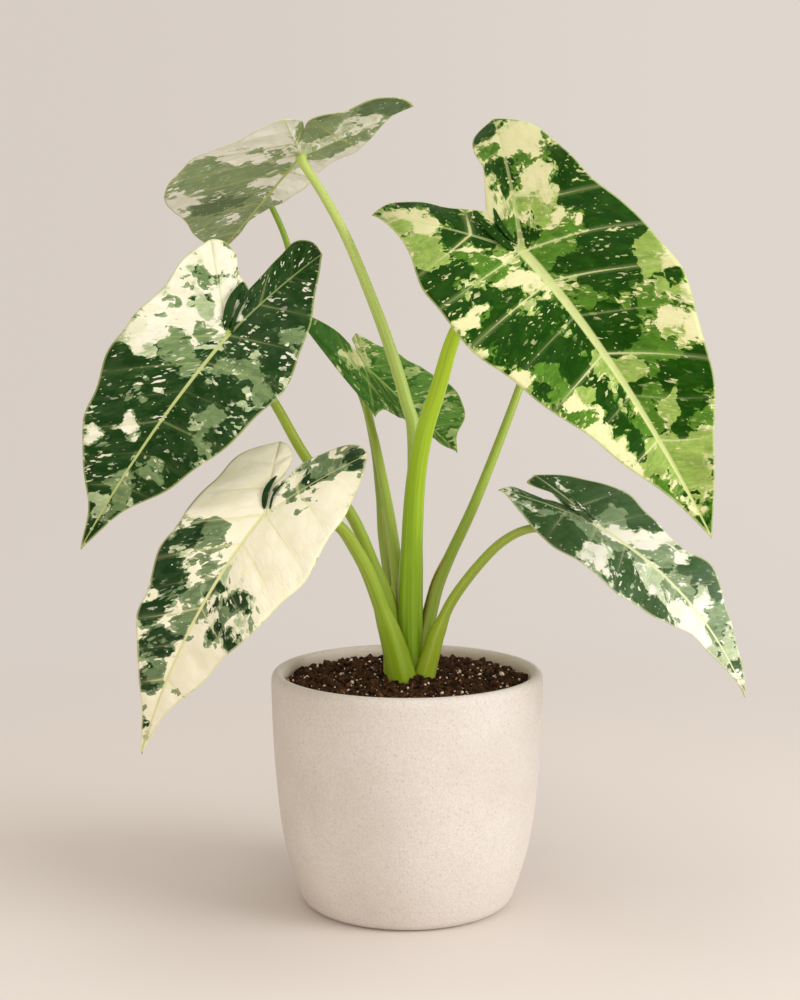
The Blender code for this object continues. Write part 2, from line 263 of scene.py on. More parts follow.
def placed(tree, group, values):
    # the group put into a material with its own values
    made = tree.nodes.new("ShaderNodeGroup")
    made.node_tree = group
    for key, value in values.items():
        feed(tree, made.inputs[key], value)
    return made.outputs


def relief(tree, shader, height, strength, distance):
    # low relief: the height pushes the shader's normal through a Bump node
    bump = addNode(tree, "Bump", {"Height": height, "Strength": strength, "Distance": distance})
    tree.links.new(bump.outputs[0], shader.inputs["Normal"])


def grainyLook(name, scale, detail, roughness, dark, light, **fixed):
    # a material whose colour wanders between two by noise
    made, tree, shader = newMaterial(name, **fixed)
    grain = noise(tree, objectAt(tree), scale, detail, roughness)
    tree.links.new(mixColour(tree, grain, hexColour(dark), hexColour(light)),
                   shader.inputs["Base Color"])
    return made, tree, shader, grain


# millimetres; stalk is where the stalk meets the blade, and face is the way its upper side looks;
# margins are drawn on the flat blade as (along the midrib from the stalk, out from it), from the
# tip to the lobe's end, and the inner ones from there to the notch; folds are tongues in the notch
# as (start, end, half width, lift); dark, mid, light and cream are soft marks of the leaf's mosaic
# as (along, out, radius)
leaves = {
    "right_large": dict(
        tone="lime", slot="blade_lime", ribHalf=2.9, veinShift=(3.4, 1.3), stalk=(65, -45, 394),
        tip=(161, -132, 242), face=(-0.02, -0.87, 0.49), arch=0.1, fold=0.3, curl=0.25, droop=0.5,
        wave=3.0, notch=(-44, 2),
        folds=[((-3, -4), (-41, -5), 2.6, 2.0), ((-9, 0), (-42, 6), 1.8, 2.0)],
        right=[(162, 23), (123, 44), (79, 56), (35, 63), (-9, 59), (-54, 61), (-98, 69),
            (-136, 62)],
        rightInner=[(-128, 44), (-106, 31), (-80, 21), (-60, 11)],
        left=[(165, -14), (133, -33), (98, -48), (62, -60), (25, -67), (-13, -61), (-50, -52),
            (-86, -52)],
        leftInner=[(-91, -36), (-80, -20), (-60, -8)],
        dark=[(-124, 44, 8), (-74, 33, 7), (-55, 26, 7), (-83, 68, 5), (-55, 60, 6), (-34, 53, 10),
            (-13, 52, 10), (-12, 40, 8), (2, 52, 8), (-8, 6, 3), (24, 15, 4), (26, 34, 11),
            (24, 50, 9), (47, 34, 9), (41, 19, 4), (27, 62, 4), (70, 52, 3), (70, 7, 10),
            (79, 16, 6), (83, 5, 5), (117, 29, 7), (126, 38, 5), (116, 42, 3), (113, 6, 3),
            (138, 22, 4), (143, 14, 3), (-82, -28, 6), (-62, -19, 7), (-41, -11, 7), (-21, -7, 5),
            (-31, -27, 5), (-20, -16, 5), (-4, -41, 6), (0, -59, 8), (-15, -62, 4), (14, -61, 5),
            (28, -22, 5), (21, -40, 4), (25, -58, 5), (42, -40, 7), (57, -29, 8), (51, -15, 5),
            (47, -55, 4), (67, -43, 7), (74, -22, 7), (92, -19, 5), (93, -42, 4), (107, -15, 4),
            (120, -17, 5), (137, -14, 4), (147, -12, 3), (178, 0, 2)],
        mid=[(-97, 37, 7), (-70, 41, 7), (-21, 11, 6), (6, 20, 8), (15, 5, 6), (53, 11, 4),
            (75, 35, 5), (100, 23, 7), (121, 8, 4), (134, 0, 4), (145, 24, 4), (-13, -30, 5),
            (5, -24, 6), (83, -33, 5), (98, -35, 3), (117, -34, 4), (165, -8, 4), (174, -4, 4)],
        light=[(-28, 22, 8), (-10, 23, 6), (42, 59, 7), (53, 49, 5), (70, 48, 4), (99, 38, 4),
            (94, -1, 5), (103, 9, 4), (129, 12, 4), (149, -1, 7), (160, 9, 7), (172, 0, 6),
            (155, 19, 4), (-62, -46, 6), (-40, -44, 6), (-21, -47, 7), (107, -22, 3),
            (157, -11, 3)],
        cream=[(-90, 53, 14), (-47, 34, 9), (-28, 30, 6), (-62, 7, 9), (-41, 3, 5), (-9, 30, 4),
            (2, 36, 3), (56, 58, 4), (88, 38, 4), (100, 45, 3), (-68, -32, 6), (-49, -35, 6),
            (-16, -25, 4), (21, -11, 6), (21, -25, 3), (32, -45, 3), (37, -56, 5), (79, -49, 4),
            (108, -32, 3), (119, -22, 2), (128, -28, 5), (137, -24, 3), (146, -19, 3),
            (153, -17, 2)]),
    "left_high": dict(
        tone="dark", slot="blade_dark", ribHalf=1.0, veinShift=(0.2, 2.4), stalk=(-101, -60, 347),
        tip=(-181, -92, 230), face=(-0.04, -0.96, 0.29), arch=0.1, fold=0.3, curl=0.25, droop=0.5,
        wave=2.4, notch=(-31, -9),
        folds=[((-2, -3), (-32, -13), 2.6, 2.5), ((-2, 1), (-28, -6), 1.2, 3.0)],
        right=[(116, 11), (90, 27), (61, 39), (30, 45), (-1, 45), (-30, 34), (-57, 19), (-80, 5)],
        rightInner=[(-84, -5), (-76, -12), (-60, -11), (-44, -9)],
        left=[(122, -9), (102, -25), (79, -36), (55, -43), (29, -46), (4, -45), (-21, -47),
            (-44, -45)],
        leftInner=[(-48, -38), (-44, -28), (-37, -20)],
        dark=[(-24, -10, 3), (-35, -4, 7), (-56, -6, 8), (-71, -2, 8), (-49, 14, 9), (-28, 12, 8),
            (-8, 9, 6), (2, 10, 5), (-8, 30, 4), (22, 25, 4), (2, 32, 4), (51, -34, 7),
            (47, -18, 6), (70, -28, 6), (59, -10, 6), (41, -1, 5), (92, -14, 7), (75, 1, 6),
            (58, 7, 5), (37, 12, 5), (73, 18, 6), (41, 34, 5), (54, 36, 4), (110, -12, 4),
            (82, 29, 5), (101, 20, 5), (120, 16, 3), (134, -1, 3)],
        mid=[(-17, -41, 2), (-21, -31, 2), (0, -35, 2), (11, -36, 2), (19, -23, 2), (22, -17, 2),
            (8, -13, 2), (-21, -34, 4), (-10, -35, 3), (5, -35, 4), (-10, -22, 3), (18, -22, 3),
            (7, -14, 3), (28, -21, 3), (26, -9, 4), (-19, 29, 4), (16, 11, 5), (12, 25, 4),
            (16, 34, 4), (59, -19, 3), (46, 26, 5), (60, 26, 5), (89, 11, 5), (107, 2, 4),
            (117, 7, 3)],
        light=[(-11, -32, 2), (-10, -24, 2), (-7, -20, 2), (-23, -38, 3), (-7, -20, 3),
            (31, -29, 3), (32, 32, 3), (56, 16, 3), (117, -4, 3)],
        cream=[(-41, -35, 3), (-36, -24, 3), (-27, -17, 2), (-18, -15, 2), (-22, -45, 3),
            (-8, -44, 3), (6, -45, 3), (17, -44, 3), (28, -42, 3), (25, -32, 3), (2, -25, 2),
            (1, -18, 2), (9, -18, 2), (-9, -11, 2), (0, -9, 2), (-33, -33, 5), (-8, -34, 5),
            (13, -35, 7), (32, -34, 6), (-19, -15, 5), (4, -23, 3), (-40, -40, 4), (-15, -48, 5),
            (-13, -2, 2), (-13, 31, 2), (17, 18, 2), (46, -21, 2), (50, -9, 2), (74, -12, 4),
            (90, -24, 3), (85, 13, 2)]),
    "left_low": dict(
        tone="cream", slot="blade_cream", ribHalf=1.1, veinShift=(2.2, 1.9), stalk=(-79, -95, 250),
        tip=(-143, -137, 126), face=(-0.32, -0.83, 0.45), arch=0.1, fold=0.25, curl=0.25,
        droop=0.5, wave=2.2, notch=(-23, -4),
        folds=[((-3, -2), (-24, -9), 1.9, 1.8), ((-4, 1), (-22, -3), 0.8, 2.0)],
        right=[(120, 9), (96, 23), (71, 36), (45, 45), (17, 49), (-11, 46), (-37, 37), (-60, 24)],
        rightInner=[(-64, 12), (-58, 2), (-46, -2), (-34, -4)],
        left=[(122, -9), (99, -21), (75, -31), (50, -37), (24, -37), (-2, -38), (-27, -36),
            (-46, -25)],
        leftInner=[(-46, -18), (-38, -12), (-30, -8)],
        dark=[(29, -27, 5), (48, -34, 7), (57, -22, 6), (75, -25, 5), (92, -10, 6), (83, -2, 4),
            (109, -9, 4), (130, -3, 3), (21, -25, 2), (50, 4, 3), (51, 23, 5), (59, 8, 2),
            (71, 16, 3), (75, 29, 3), (-29, 9, 5), (-56, 16, 4), (-9, 19, 3), (-15, -4, 2),
            (-49, 25, 3)],
        mid=[(17, -18, 4), (28, -12, 4), (43, -9, 4), (60, -5, 4), (72, -5, 3), (102, -6, 3),
            (47, -4, 2), (64, 1, 3), (61, 17, 2), (80, 15, 3), (-16, 6, 5), (-41, 13, 5),
            (-45, 2, 4), (-18, 20, 3)],
        light=[(41, 3, 2), (61, 27, 2)],
        cream=[(-37, -29, 3), (-42, -25, 3), (-10, -23, 5), (-7, -7, 5), (7, -20, 4), (15, -37, 3),
            (10, 34, 5), (24, 33, 5), (-14, 29, 4), (-22, 30, 3), (-30, 34, 3), (-21, -24, 15),
            (2, -39, 12), (9, -3, 7), (20, 20, 14), (-2, 26, 13), (-24, 25, 6), (36, 26, 8),
            (91, 9, 10), (122, 4, 8), (43, 43, 6), (62, 23, 2), (83, 32, 4), (-52, 7, 2),
            (-39, 26, 3), (70, -28, 2)]),
    "right_low": dict(
        tone="grey", slot="blade_dark", ribHalf=1.3, veinShift=(1.8, 1.5), stalk=(111, -30, 235),
        tip=(197, -48, 137), face=(0.47, -0.7, 0.54), arch=0.12, fold=0.25, curl=0.25, droop=0.5,
        wave=2.4, notch=(-22, 2),
        folds=[((-3, 0), (-26, 5), 1.6, 1.5), ((-3, 3), (-23, 10), 1.0, 1.5)],
        right=[(110, 9), (87, 19), (65, 26), (42, 25), (19, 27), (-5, 31), (-29, 28), (-47, 16)],
        rightInner=[(-46, 10), (-38, 8), (-30, 5)],
        left=[(107, -7), (84, -19), (62, -32), (37, -39), (11, -42), (-14, -36), (-36, -22),
            (-54, -6)],
        leftInner=[(-50, 1), (-40, 2), (-30, 2)],
        dark=[(-45, 9, 7), (-31, 0, 7), (-12, -22, 9), (-28, 24, 8), (-18, 31, 8), (-5, -35, 5),
            (-15, 18, 5), (3, 29, 6), (16, 22, 5), (-5, 12, 3), (27, -24, 7), (39, -26, 5),
            (55, -26, 5), (55, 16, 4), (64, 17, 5), (73, 20, 4), (59, 26, 3), (113, 2, 2)],
        mid=[(0, 12, 5), (-2, -10, 4), (15, -7, 4), (29, 0, 4), (37, 9, 4), (61, 8, 4),
            (56, -4, 4), (86, 7, 3), (94, -2, 4), (86, 17, 3), (-26, -12, 3)],
        light=[(41, -9, 6), (68, 10, 3), (102, 1, 5), (97, -11, 4)],
        cream=[(-4, 34, 3), (-29, 16, 3), (13, 3, 4), (24, 9, 4), (11, -25, 4), (18, -31, 4),
            (30, 21, 3), (67, -12, 6), (78, -13, 6), (47, -20, 3), (72, 8, 3), (84, 24, 3),
            (88, -13, 4), (47, 16, 2)]),
    "top_back": dict(
        tone="under", slot="blade_under", ribHalf=1.2, veinShift=(1.8, 1.5), stalk=(-64, 20, 454),
        tip=(-131, 160, 393), face=(-0.25, 0.27, 0.93), arch=0.0, fold=0.05, curl=0.0, droop=0.0,
        wave=2.2, notch=(-32, 10),
        right=[(129, 22), (98, 44), (75, 61), (60, 69), (36, 71), (12, 66), (-9, 55), (-29, 43),
            (-46, 28)],
        rightInner=[(-48, 21), (-40, 14)],
        left=[(139, -1), (104, -8), (74, -18), (44, -27), (19, -38), (-13, -43), (-36, -46),
            (-51, -54)],
        leftInner=[(-65, -34), (-68, -19), (-60, -6), (-53, 5), (-43, 11)],
        dark=[(-44, 11, 4), (-54, 6, 4), (-45, -38, 5), (26, 30, 4), (44, 40, 5), (-57, -26, 9),
            (-53, -41, 7), (-20, 8, 6), (86, 33, 10), (68, 22, 11)],
        mid=[(37, 39, 16), (43, 57, 10), (53, 20, 12), (16, 53, 8), (23, 24, 8), (102, 31, 10),
            (-2, 30, 5), (0, 16, 7), (81, -5, 11), (18, 7, 7), (-30, 4, 10), (-35, -5, 9),
            (2, -21, 11), (-10, -27, 9), (-28, -35, 6), (119, -3, 10), (127, 12, 9)],
        light=[(60, 28, 5), (46, 16, 5), (-13, -14, 5), (-25, -19, 5), (-3, 2, 5), (-5, 41, 4),
            (20, -8, 6), (-33, -16, 6)],
        cream=[(3, 35, 5), (7, 21, 5), (10, 6, 4), (50, 59, 6), (89, 50, 6), (70, -15, 5),
            (24, -34, 7), (11, -42, 5), (-38, -32, 5), (-4, -40, 5), (34, 39, 3), (33, 50, 3),
            (-22, 47, 15), (-32, 31, 13), (8, 42, 5), (-12, 17, 9), (66, 49, 5), (72, 60, 8),
            (-4, 56, 5), (2, 69, 5), (42, 8, 6), (7, -37, 6), (-23, -31, 6), (39, -16, 11),
            (25, -25, 9), (17, -34, 6), (53, -14, 8)]),
    "mid_back": dict(
        tone="green", slot="blade_dark", ribHalf=0.8, veinShift=(1.5, 1.5), stalk=(-26, 80, 323),
        tip=(31, 32, 273), face=(-0.05, -0.74, 0.67), arch=0.0, fold=0.1, curl=0.0, droop=0.0,
        wave=1.2, notch=(-13, 3),
        right=[(81, 7), (73, 20), (60, 28), (47, 28), (33, 27), (17, 23), (0, 19), (-26, 12)],
        rightInner=[(-24, 8), (-18, 5)],
        left=[(77, -4), (65, -7), (53, -9), (42, -11), (35, -14), (35, -21)],
        leftInner=[(5, -18), (-21, -14), (-47, -10), (-64, -6), (-57, 0), (-38, 4), (-25, 4)],
        dark=[(-42, -1, 7), (21, -8, 7), (-27, -4, 4)],
        mid=[(7, 14, 6), (35, 16, 6), (66, 10, 5), (34, 4, 4)],
        light=[(53, 9, 4), (25, 16, 3), (79, 7, 3)],
        cream=[(-18, 1, 4), (-6, 1, 3)]),
    "hid_right": dict(
        tone="green", slot="blade_dark", ribHalf=1.0, veinShift=(1.5, 1.5), stalk=(98, 75, 373),
        tip=(150, 104, 296), face=(0.6, 0.35, 0.7), arch=0.1, fold=0.2, curl=0.25, droop=0.5,
        wave=1.6, notch=(-15, 0),
        right=[(82, 7), (66, 16), (49, 24), (31, 29), (12, 31), (-8, 29), (-25, 23), (-38, 14)],
        rightInner=[(-38, 8), (-30, 4), (-22, 2)],
        left=[(82, -7), (66, -15), (49, -23), (31, -28), (12, -30), (-8, -28), (-25, -22),
            (-38, -13)],
        leftInner=[(-38, -7), (-30, -3), (-22, -1)]),
    "hid_top": dict(
        tone="dark", slot="blade_dark", ribHalf=0.8, veinShift=(1.5, 1.5), stalk=(-94, 152, 441),
        tip=(-130, 208, 428), face=(-0.1, 0.18, 0.97), arch=0.08, fold=0.18, curl=0.2, droop=0.3,
        wave=1.2, notch=(-10, 0),
        right=[(55, 5), (44, 11), (33, 16), (21, 19), (8, 20), (-5, 19), (-16, 15), (-24, 10)],
        rightInner=[(-24, 6), (-19, 3), (-14, 1)],
        left=[(55, -5), (44, -10), (33, -15), (21, -19), (8, -20), (-5, -19), (-16, -15),
            (-24, -9)],
        leftInner=[(-24, -5), (-19, -2), (-14, -1)]),
}

bladeForm = dict(
    veins=7, lobeVeins=3, finer=6, rows=28,  # veins a side, steps a half vein, rows rib to margin
    thickness=0.75, rib=2.2, ribWidth=2.1, vein=0.4, veinWidth=0.9,  # depth, and what stands below
    ribEnd=0.35, lobeRib=0.32, lobeFall=9.0,  # midrib's half width at its end and on the lobes
    dip=0.3, puff=1.4, puffDip=0.4, puffRound=0.8,  # sunk midrib, and the cushions between veins
    veinCurve=0.95, veinLead=0.7, fullWidth=45.0,  # how the side veins bend towards the tip
    waveTurn=0.95, ripple=0.35, rippleTurn=3.1, scallop=0.007, scallopTurn=1.7,  # wavy margin
    grain=0.8, grainAlong=0.35,  # scale of the mosaic across and along the blade
    phases=(0.4, 2.2), bow=0.06, foldLift=0.4)

mosaicMarks = dict(reach=2.2, swing=13.0, waves=16, seeds=(5, 6), blank=0.25, soft=0.7,
                   kinds=dict(dark=(1, 1), mid=(1, -1), light=(-1, 1), cream=(-1, -1)))

# screen colours of the mosaic, of the ribs and of the veil on the underside; gloss; how strongly
# the side veins show; and how far the upper and lower layers of green tissue reach by themselves
tones = {
    "lime": dict(dark="153f00", mid="568326", light="97b056", cream="e0ddaa", rib="ccd690",
                 veil="8fae62", gloss=0.05, seed=3.0, veins=1.0, upper=0.0, lower=0.0),
    "dark": dict(dark="14360a", mid="768d5c", light="a8b78a", cream="e4dfcb", rib="b4bf78",
                 veil="8fa57e", gloss=0.08, seed=21.0, veins=0.25, upper=0.15, lower=0.3),
    "cream": dict(dark="163511", mid="72875d", light="adba90", cream="efe9cf", rib="dad89c",
                  veil="b5ba95", gloss=0.1, seed=38.0, veins=0.6, upper=-0.2, lower=-0.3),
    "under": dict(dark="3f6026", mid="869c64", light="bcc69c", cream="fcfaf0", rib="b9c062",
                  veil="c9d0b8", gloss=0.1, seed=55.0, veins=0.95, upper=0.0, lower=-0.3),
    "green": dict(dark="3c6826", mid="64903f", light="a5ba70", cream="cfd29a", rib="8ea556",
                  veil="8aa368", gloss=0.05, seed=71.0, veins=0.6, upper=0.25, lower=0.3),
    # painted sheen: besides this leaf's own grey-green, its dark and mid are made paler to carry
    # the sheen on its upper side
    "grey": dict(dark="2f5220", mid="84996f", light="bac89f", cream="efecdd", rib="dce0ac",
                 veil="93a884", gloss=0.3, seed=90.0, veins=0.22, upper=0.1, lower=0.1),
}


def leafAxes(leaf):
    # length of the midrib, then unit axes along it, across it and out of the upper side
    along = np.subtract(leaf["tip"], leaf["stalk"]).astype(float)
    length = np.linalg.norm(along)
    along = along / length
    out = unit(np.array(leaf["face"]) - np.dot(leaf["face"], along) * along)
    return length, along, np.cross(out, along), out


def bladeRise(leaf, length, x, y):
    # height over the flat: an arched midrib, lobes that droop, halves folded up and curled down
    s = np.clip(x / length, 0, 1)
    back = np.minimum(x, 0)
    rise = leaf["arch"] * length * 4 * s * (1 - s) + leaf["arch"] * 4 * back
    rise = rise - leaf["droop"] * back ** 2 / length
    return rise + leaf["fold"] * (np.sqrt(y * y + 9) - 3) - leaf["curl"] * y * y / length


def bladeStrips(leaf, length, side, phase, veinShift):
    # each half is two ruled strips from rib to margin: point = rib point * (1 - share) + margin
    # point * share; veins are numbered from the tip, even on a vein and odd between two, and the
    # blade is puffed up by |sin(90 degrees * number)| between them; its depth is a bell curve of
    # the distance to the midrib, and another of the distance to the vein
    form = bladeForm
    body, lobe = 2 * form["veins"], 2 * form["lobeVeins"]
    fine = form["finer"]
    lobeEnd = np.array(leaf[side][-1], float)
    outer = smoothLine([(length, 0)] + leaf[side], (body + lobe) * fine + 1)
    inner = smoothLine([leaf["notch"]] + leaf[side + "Inner"][::-1] + [tuple(lobeEnd)],
                       lobe * fine + 1)
    midrib = np.linspace((length, 0), (0, 0), body * fine + 1)
    lobeRib = np.linspace((0, 0), lobeEnd, lobe * fine + 1)
    spread = np.linspace(0, 1, form["rows"])
    share = (0.4 * spread ** 2 + 0.6 * spread)[:, None]  # rows stand closer by the rib
    strips = []
    for start, end, first in ((np.vstack([midrib, lobeRib[1:]]), outer, 0), (lobeRib, inner, body)):
        step = np.arange(len(start)) / fine
        ends = np.sin(math.pi * step / (lobe if first else body + lobe))  # no waves at the ends
        scallop = length * np.abs(ends) * np.sin(step * form["scallopTurn"] + phase)
        end = end + unit(end - start) * (form["scallop"] * scallop)[:, None]
        flat = start[None] * (1 - share[..., None]) + end[None] * share[..., None]
        x, y = flat[..., 0], flat[..., 1]
        width = np.linalg.norm(end - start, axis=1)
        way = unit(end - start)
        spine = unit(np.gradient(start, axis=0))
        slant = np.abs(spine[:, 0] * way[:, 1] - spine[:, 1] * way[:, 0])
        drift = np.gradient(flat, axis=1) * fine
        gap = np.abs(drift[..., 0] * way[:, 1] - drift[..., 1] * way[:, 0])
        lead = np.abs(np.sin(math.pi * (first + step) / (body + lobe))) ** form["veinLead"]
        lead = veinShift * lead * np.clip(width / form["fullWidth"], 0, 1)
        vein = first + step + lead * share ** form["veinCurve"]
        ribGap = share * width * np.clip(slant, 0.3, 1)
        wave = leaf["wave"] * share ** 2 * np.sin(step * form["waveTurn"] + phase)
        wave = wave * np.sqrt(np.abs(ends)) + form["ripple"] * share ** 4 * np.abs(ends) * np.sin(
            step * form["rippleTurn"] + phase * 2)
        puff = form["puff"] * np.abs(np.sin(math.pi * vein / 2)) ** form["puffRound"]
        height = bladeRise(leaf, length, x, y) + wave
        height = height + (puff - form["puffDip"]) * np.sin(math.pi * share)
        away = np.hypot(x, y)
        far = 1 - np.clip(np.where(x > 0, x / length, away / np.hypot(*lobeEnd)), 0, 1)
        behind = form["lobeRib"] + (1 - form["lobeRib"]) * np.exp(-away / form["lobeFall"])
        ribHalf = (leaf["ribHalf"] - form["ribEnd"]) * far ** 0.8 * np.where(x > 0, 1, behind)
        ribHalf = ribHalf + form["ribEnd"]
        height = height - form["dip"] * np.exp(-(ribGap / (0.8 * ribHalf + 0.4)) ** 2)
        veinGap = np.abs(vein / 2 - np.round(vein / 2)) * 2 * gap
        ribDepth = form["rib"] * np.exp(-(ribGap / form["ribWidth"]) ** 2) * np.clip(far, 0.12, 1)
        veinDepth = form["vein"] * np.exp(-(veinGap / form["veinWidth"]) ** 2) * (1 - share)
        depth = form["thickness"] * (1 - 0.5 * share ** 6) + ribDepth + veinDepth
        whole = np.broadcast_to(share, x.shape)
        strips.append(np.stack([x, y, height, depth, share * width * form["grain"], vein,
                                y * form["grainAlong"], whole, gap, ribGap / ribHalf,
                                (1 - share) * width * form["grain"]], -1))
    return strips


def patchTones(leaf, x, y):
    # two layers of the leaf's tissue, each green (1) or pale (-1): dark marks are green in both,
    # mid ones in the upper, light ones in the lower; marks weigh by exp(-(distance / radius) ^ 2),
    # measured from a point that wanders a little, so that no patch is round
    marks = mosaicMarks
    at = np.stack([x, y], -1)
    x, y = at.T + marks["reach"] * np.stack([ripple(at, marks["swing"], seed, marks["waves"])
                                             for seed in marks["seeds"]])
    total = np.full_like(x, marks["blank"])
    tone = np.zeros((len(x), 2))
    for kind, value in marks["kinds"].items():
        if kind in leaf:
            px, py, size = np.array(leaf[kind], float).T
            weight = np.exp(-((x[:, None] - px) ** 2 + (y[:, None] - py) ** 2)
                            / (size + marks["soft"]) ** 2).sum(1)
            total += weight
            tone += weight[:, None] * np.array(value)
    return tone / total[:, None]


def addBlade(name, leaf, material):
    # the strips welded on the flat, lifted by their height along the face, given a lower sheet
    # their depth below, and closed by a narrow band round the margin
    length, along, across, out = leafAxes(leaf)
    points, triangles = [], []
    first = 0
    for side, phase, veinShift in zip(("right", "left"), bladeForm["phases"], leaf["veinShift"]):
        for strip in bladeStrips(leaf, length, side, phase, veinShift):
            rows, columns = strip.shape[:2]
            made = gridTriangles(first, rows, columns)
            flat = strip[..., :2].reshape(-1, 2)
            a, b, c = (flat[made[:, i] - first] for i in range(3))
            turn = ((b - a)[:, 0] * (c - a)[:, 1] - (b - a)[:, 1] * (c - a)[:, 0]).sum()
            triangles.append(made if turn > 0 else made[:, ::-1])
            points.append(strip.reshape(-1, strip.shape[-1]))
            first += rows * columns
    points, triangles = np.vstack(points), np.vstack(triangles)
    _, keep, weld = np.unique(np.round(points[:, :2], 3), axis=0, return_index=True,
                              return_inverse=True)
    points, triangles = points[keep], weld.ravel()[triangles]
    a, b, c = triangles.T
    triangles = triangles[(a != b) & (b != c) & (a != c)]
    count = len(points)
    x, y, height, depth = points[:, :4].T
    base = np.array(leaf["stalk"], float) + x[:, None] * along + y[:, None] * across
    upper = base + height[:, None] * out
    lower = upper - depth[:, None] * out
    edges = np.vstack([triangles[:, [0, 1]], triangles[:, [1, 2]], triangles[:, [2, 0]]])
    code = np.sort(edges, axis=1) @ np.array([count, 1])
    _, place, used = np.unique(code, return_index=True, return_counts=True)
    rim = edges[place[used == 1]]
    band = np.vstack([np.stack([rim[:, 1], rim[:, 0], rim[:, 0] + count], 1),
                      np.stack([rim[:, 1], rim[:, 0] + count, rim[:, 1] + count], 1)])
    veinStep = 1.15 * length / (2 * bladeForm["veins"])  # about one half vein, in millimetres
    grain = np.stack([points[:, 4], points[:, 5] * veinStep, points[:, 6]], 1)
    vein = points[:, [5, 7, 8]]  # number, share of the way out, gap to the next vein
    rib = np.pad(points[:, 9:11], ((0, 0), (0, 1)))  # rib and edge distance, 1 on the underside
    shade = np.pad(patchTones(leaf, x, y), ((0, 0), (0, 1)))
    addPiece("leaf_" + name, np.vstack([upper, lower]),
             np.vstack([triangles, triangles[:, ::-1] + count, band]), material, leaf["slot"],
             ["blade_" + name],
             dict(grain=np.vstack([grain] * 2), vein=np.vstack([vein] * 2),
                  rib=np.vstack([rib, rib + [0, 0, 1]]), shade=np.vstack([shade] * 2)))


def addFolds(name, leaf, material):
    # narrow tongues of blade that stand in the notch: a flat oval outline carried from start to
    # end over the blade, its width sqrt(sin) and its lift a half sine; all of it is dark tissue
    length, along, across, out = leafAxes(leaf)
    points, triangles, grain = [], [], []
    first = 0
    t = np.linspace(0, 1, 40)
    turn = np.linspace(0, 2 * math.pi, 24, endpoint=False)
    for start, end, half, lift in leaf["folds"]:
        bow = bladeForm["bow"] * np.sin(math.pi * t)[:, None] * np.array(
            [start[1] - end[1], end[0] - start[0]])
        flat = np.outer(1 - t, start) + np.outer(t, end) + bow
        rise = bladeRise(leaf, length, *flat.T) + bladeForm["foldLift"]
        rise = rise + lift * np.sin(math.pi * t * 0.75)
        line = np.array(leaf["stalk"], float) + flat @ np.array([along, across])
        line = line + rise[:, None] * out
        width = half * np.sqrt(np.sin(math.pi * np.clip(t, 0.02, 0.98) ** 0.8))[:, None]
        made, sides = swept(line, width * 0.5 * np.sin(turn) + width * 0.35 * np.cos(turn) ** 2,
                            width * np.cos(turn), out)
        points.append(made)
        triangles.append(sides + first)
        grain.append(np.pad(np.stack([np.repeat(t * 25, 24), np.tile(turn * half, 40)], 1),
                            ((0, 2), (0, 1))))
        first += len(made)
    points = np.vstack(points)
    whole = np.ones((len(points), 3))
    addPiece("folds_" + name, points, np.vstack(triangles), material, leaf["slot"], (),
             dict(grain=np.vstack(grain), vein=whole * [15, 0.5, 8], rib=whole * [9, 9, 0],
                  shade=whole * [1, 1, 0]))


# the mosaic's noise reads the blade's grain attribute, in millimetres
mosaic = dict(
    wander=0.24, warp=3.2,  # scale of the noise that bends every edge, and how far it bends it
    layers=dict(upper=dict(cells=0.31, lumps=0.075, away=0.0, ground="Upper"),
                lower=dict(cells=0.42, lumps=0.085, away=57.0, ground="Lower")),
    lumpy=3.6, marks=1.25, odd=0.55, edge=0.03,  # weights of noise, marks and chance; edge width
    creamTint=0.18, lightTint=0.4, lightMottle=0.3, midTint=0.5, midMottle=0.35, darkTint=0.35,
    darkMottle=0.08, chipCells=0.7, chips=(0.693, 0.698), chipStrength=0.9, fleckCells=0.6,
    # two of these weights are painted shade in the rib colour: the one for the quilted creases and
    # the one beside the strong veins
    flecks=(0.92, 0.94), fleckStrength=0.85, quilt=0.13, creaseShade=0.2, veinShadeBand=0.16, margin=0.6,
    veil=0.15, reliefStrength=0.55, reliefDepth=0.0007)


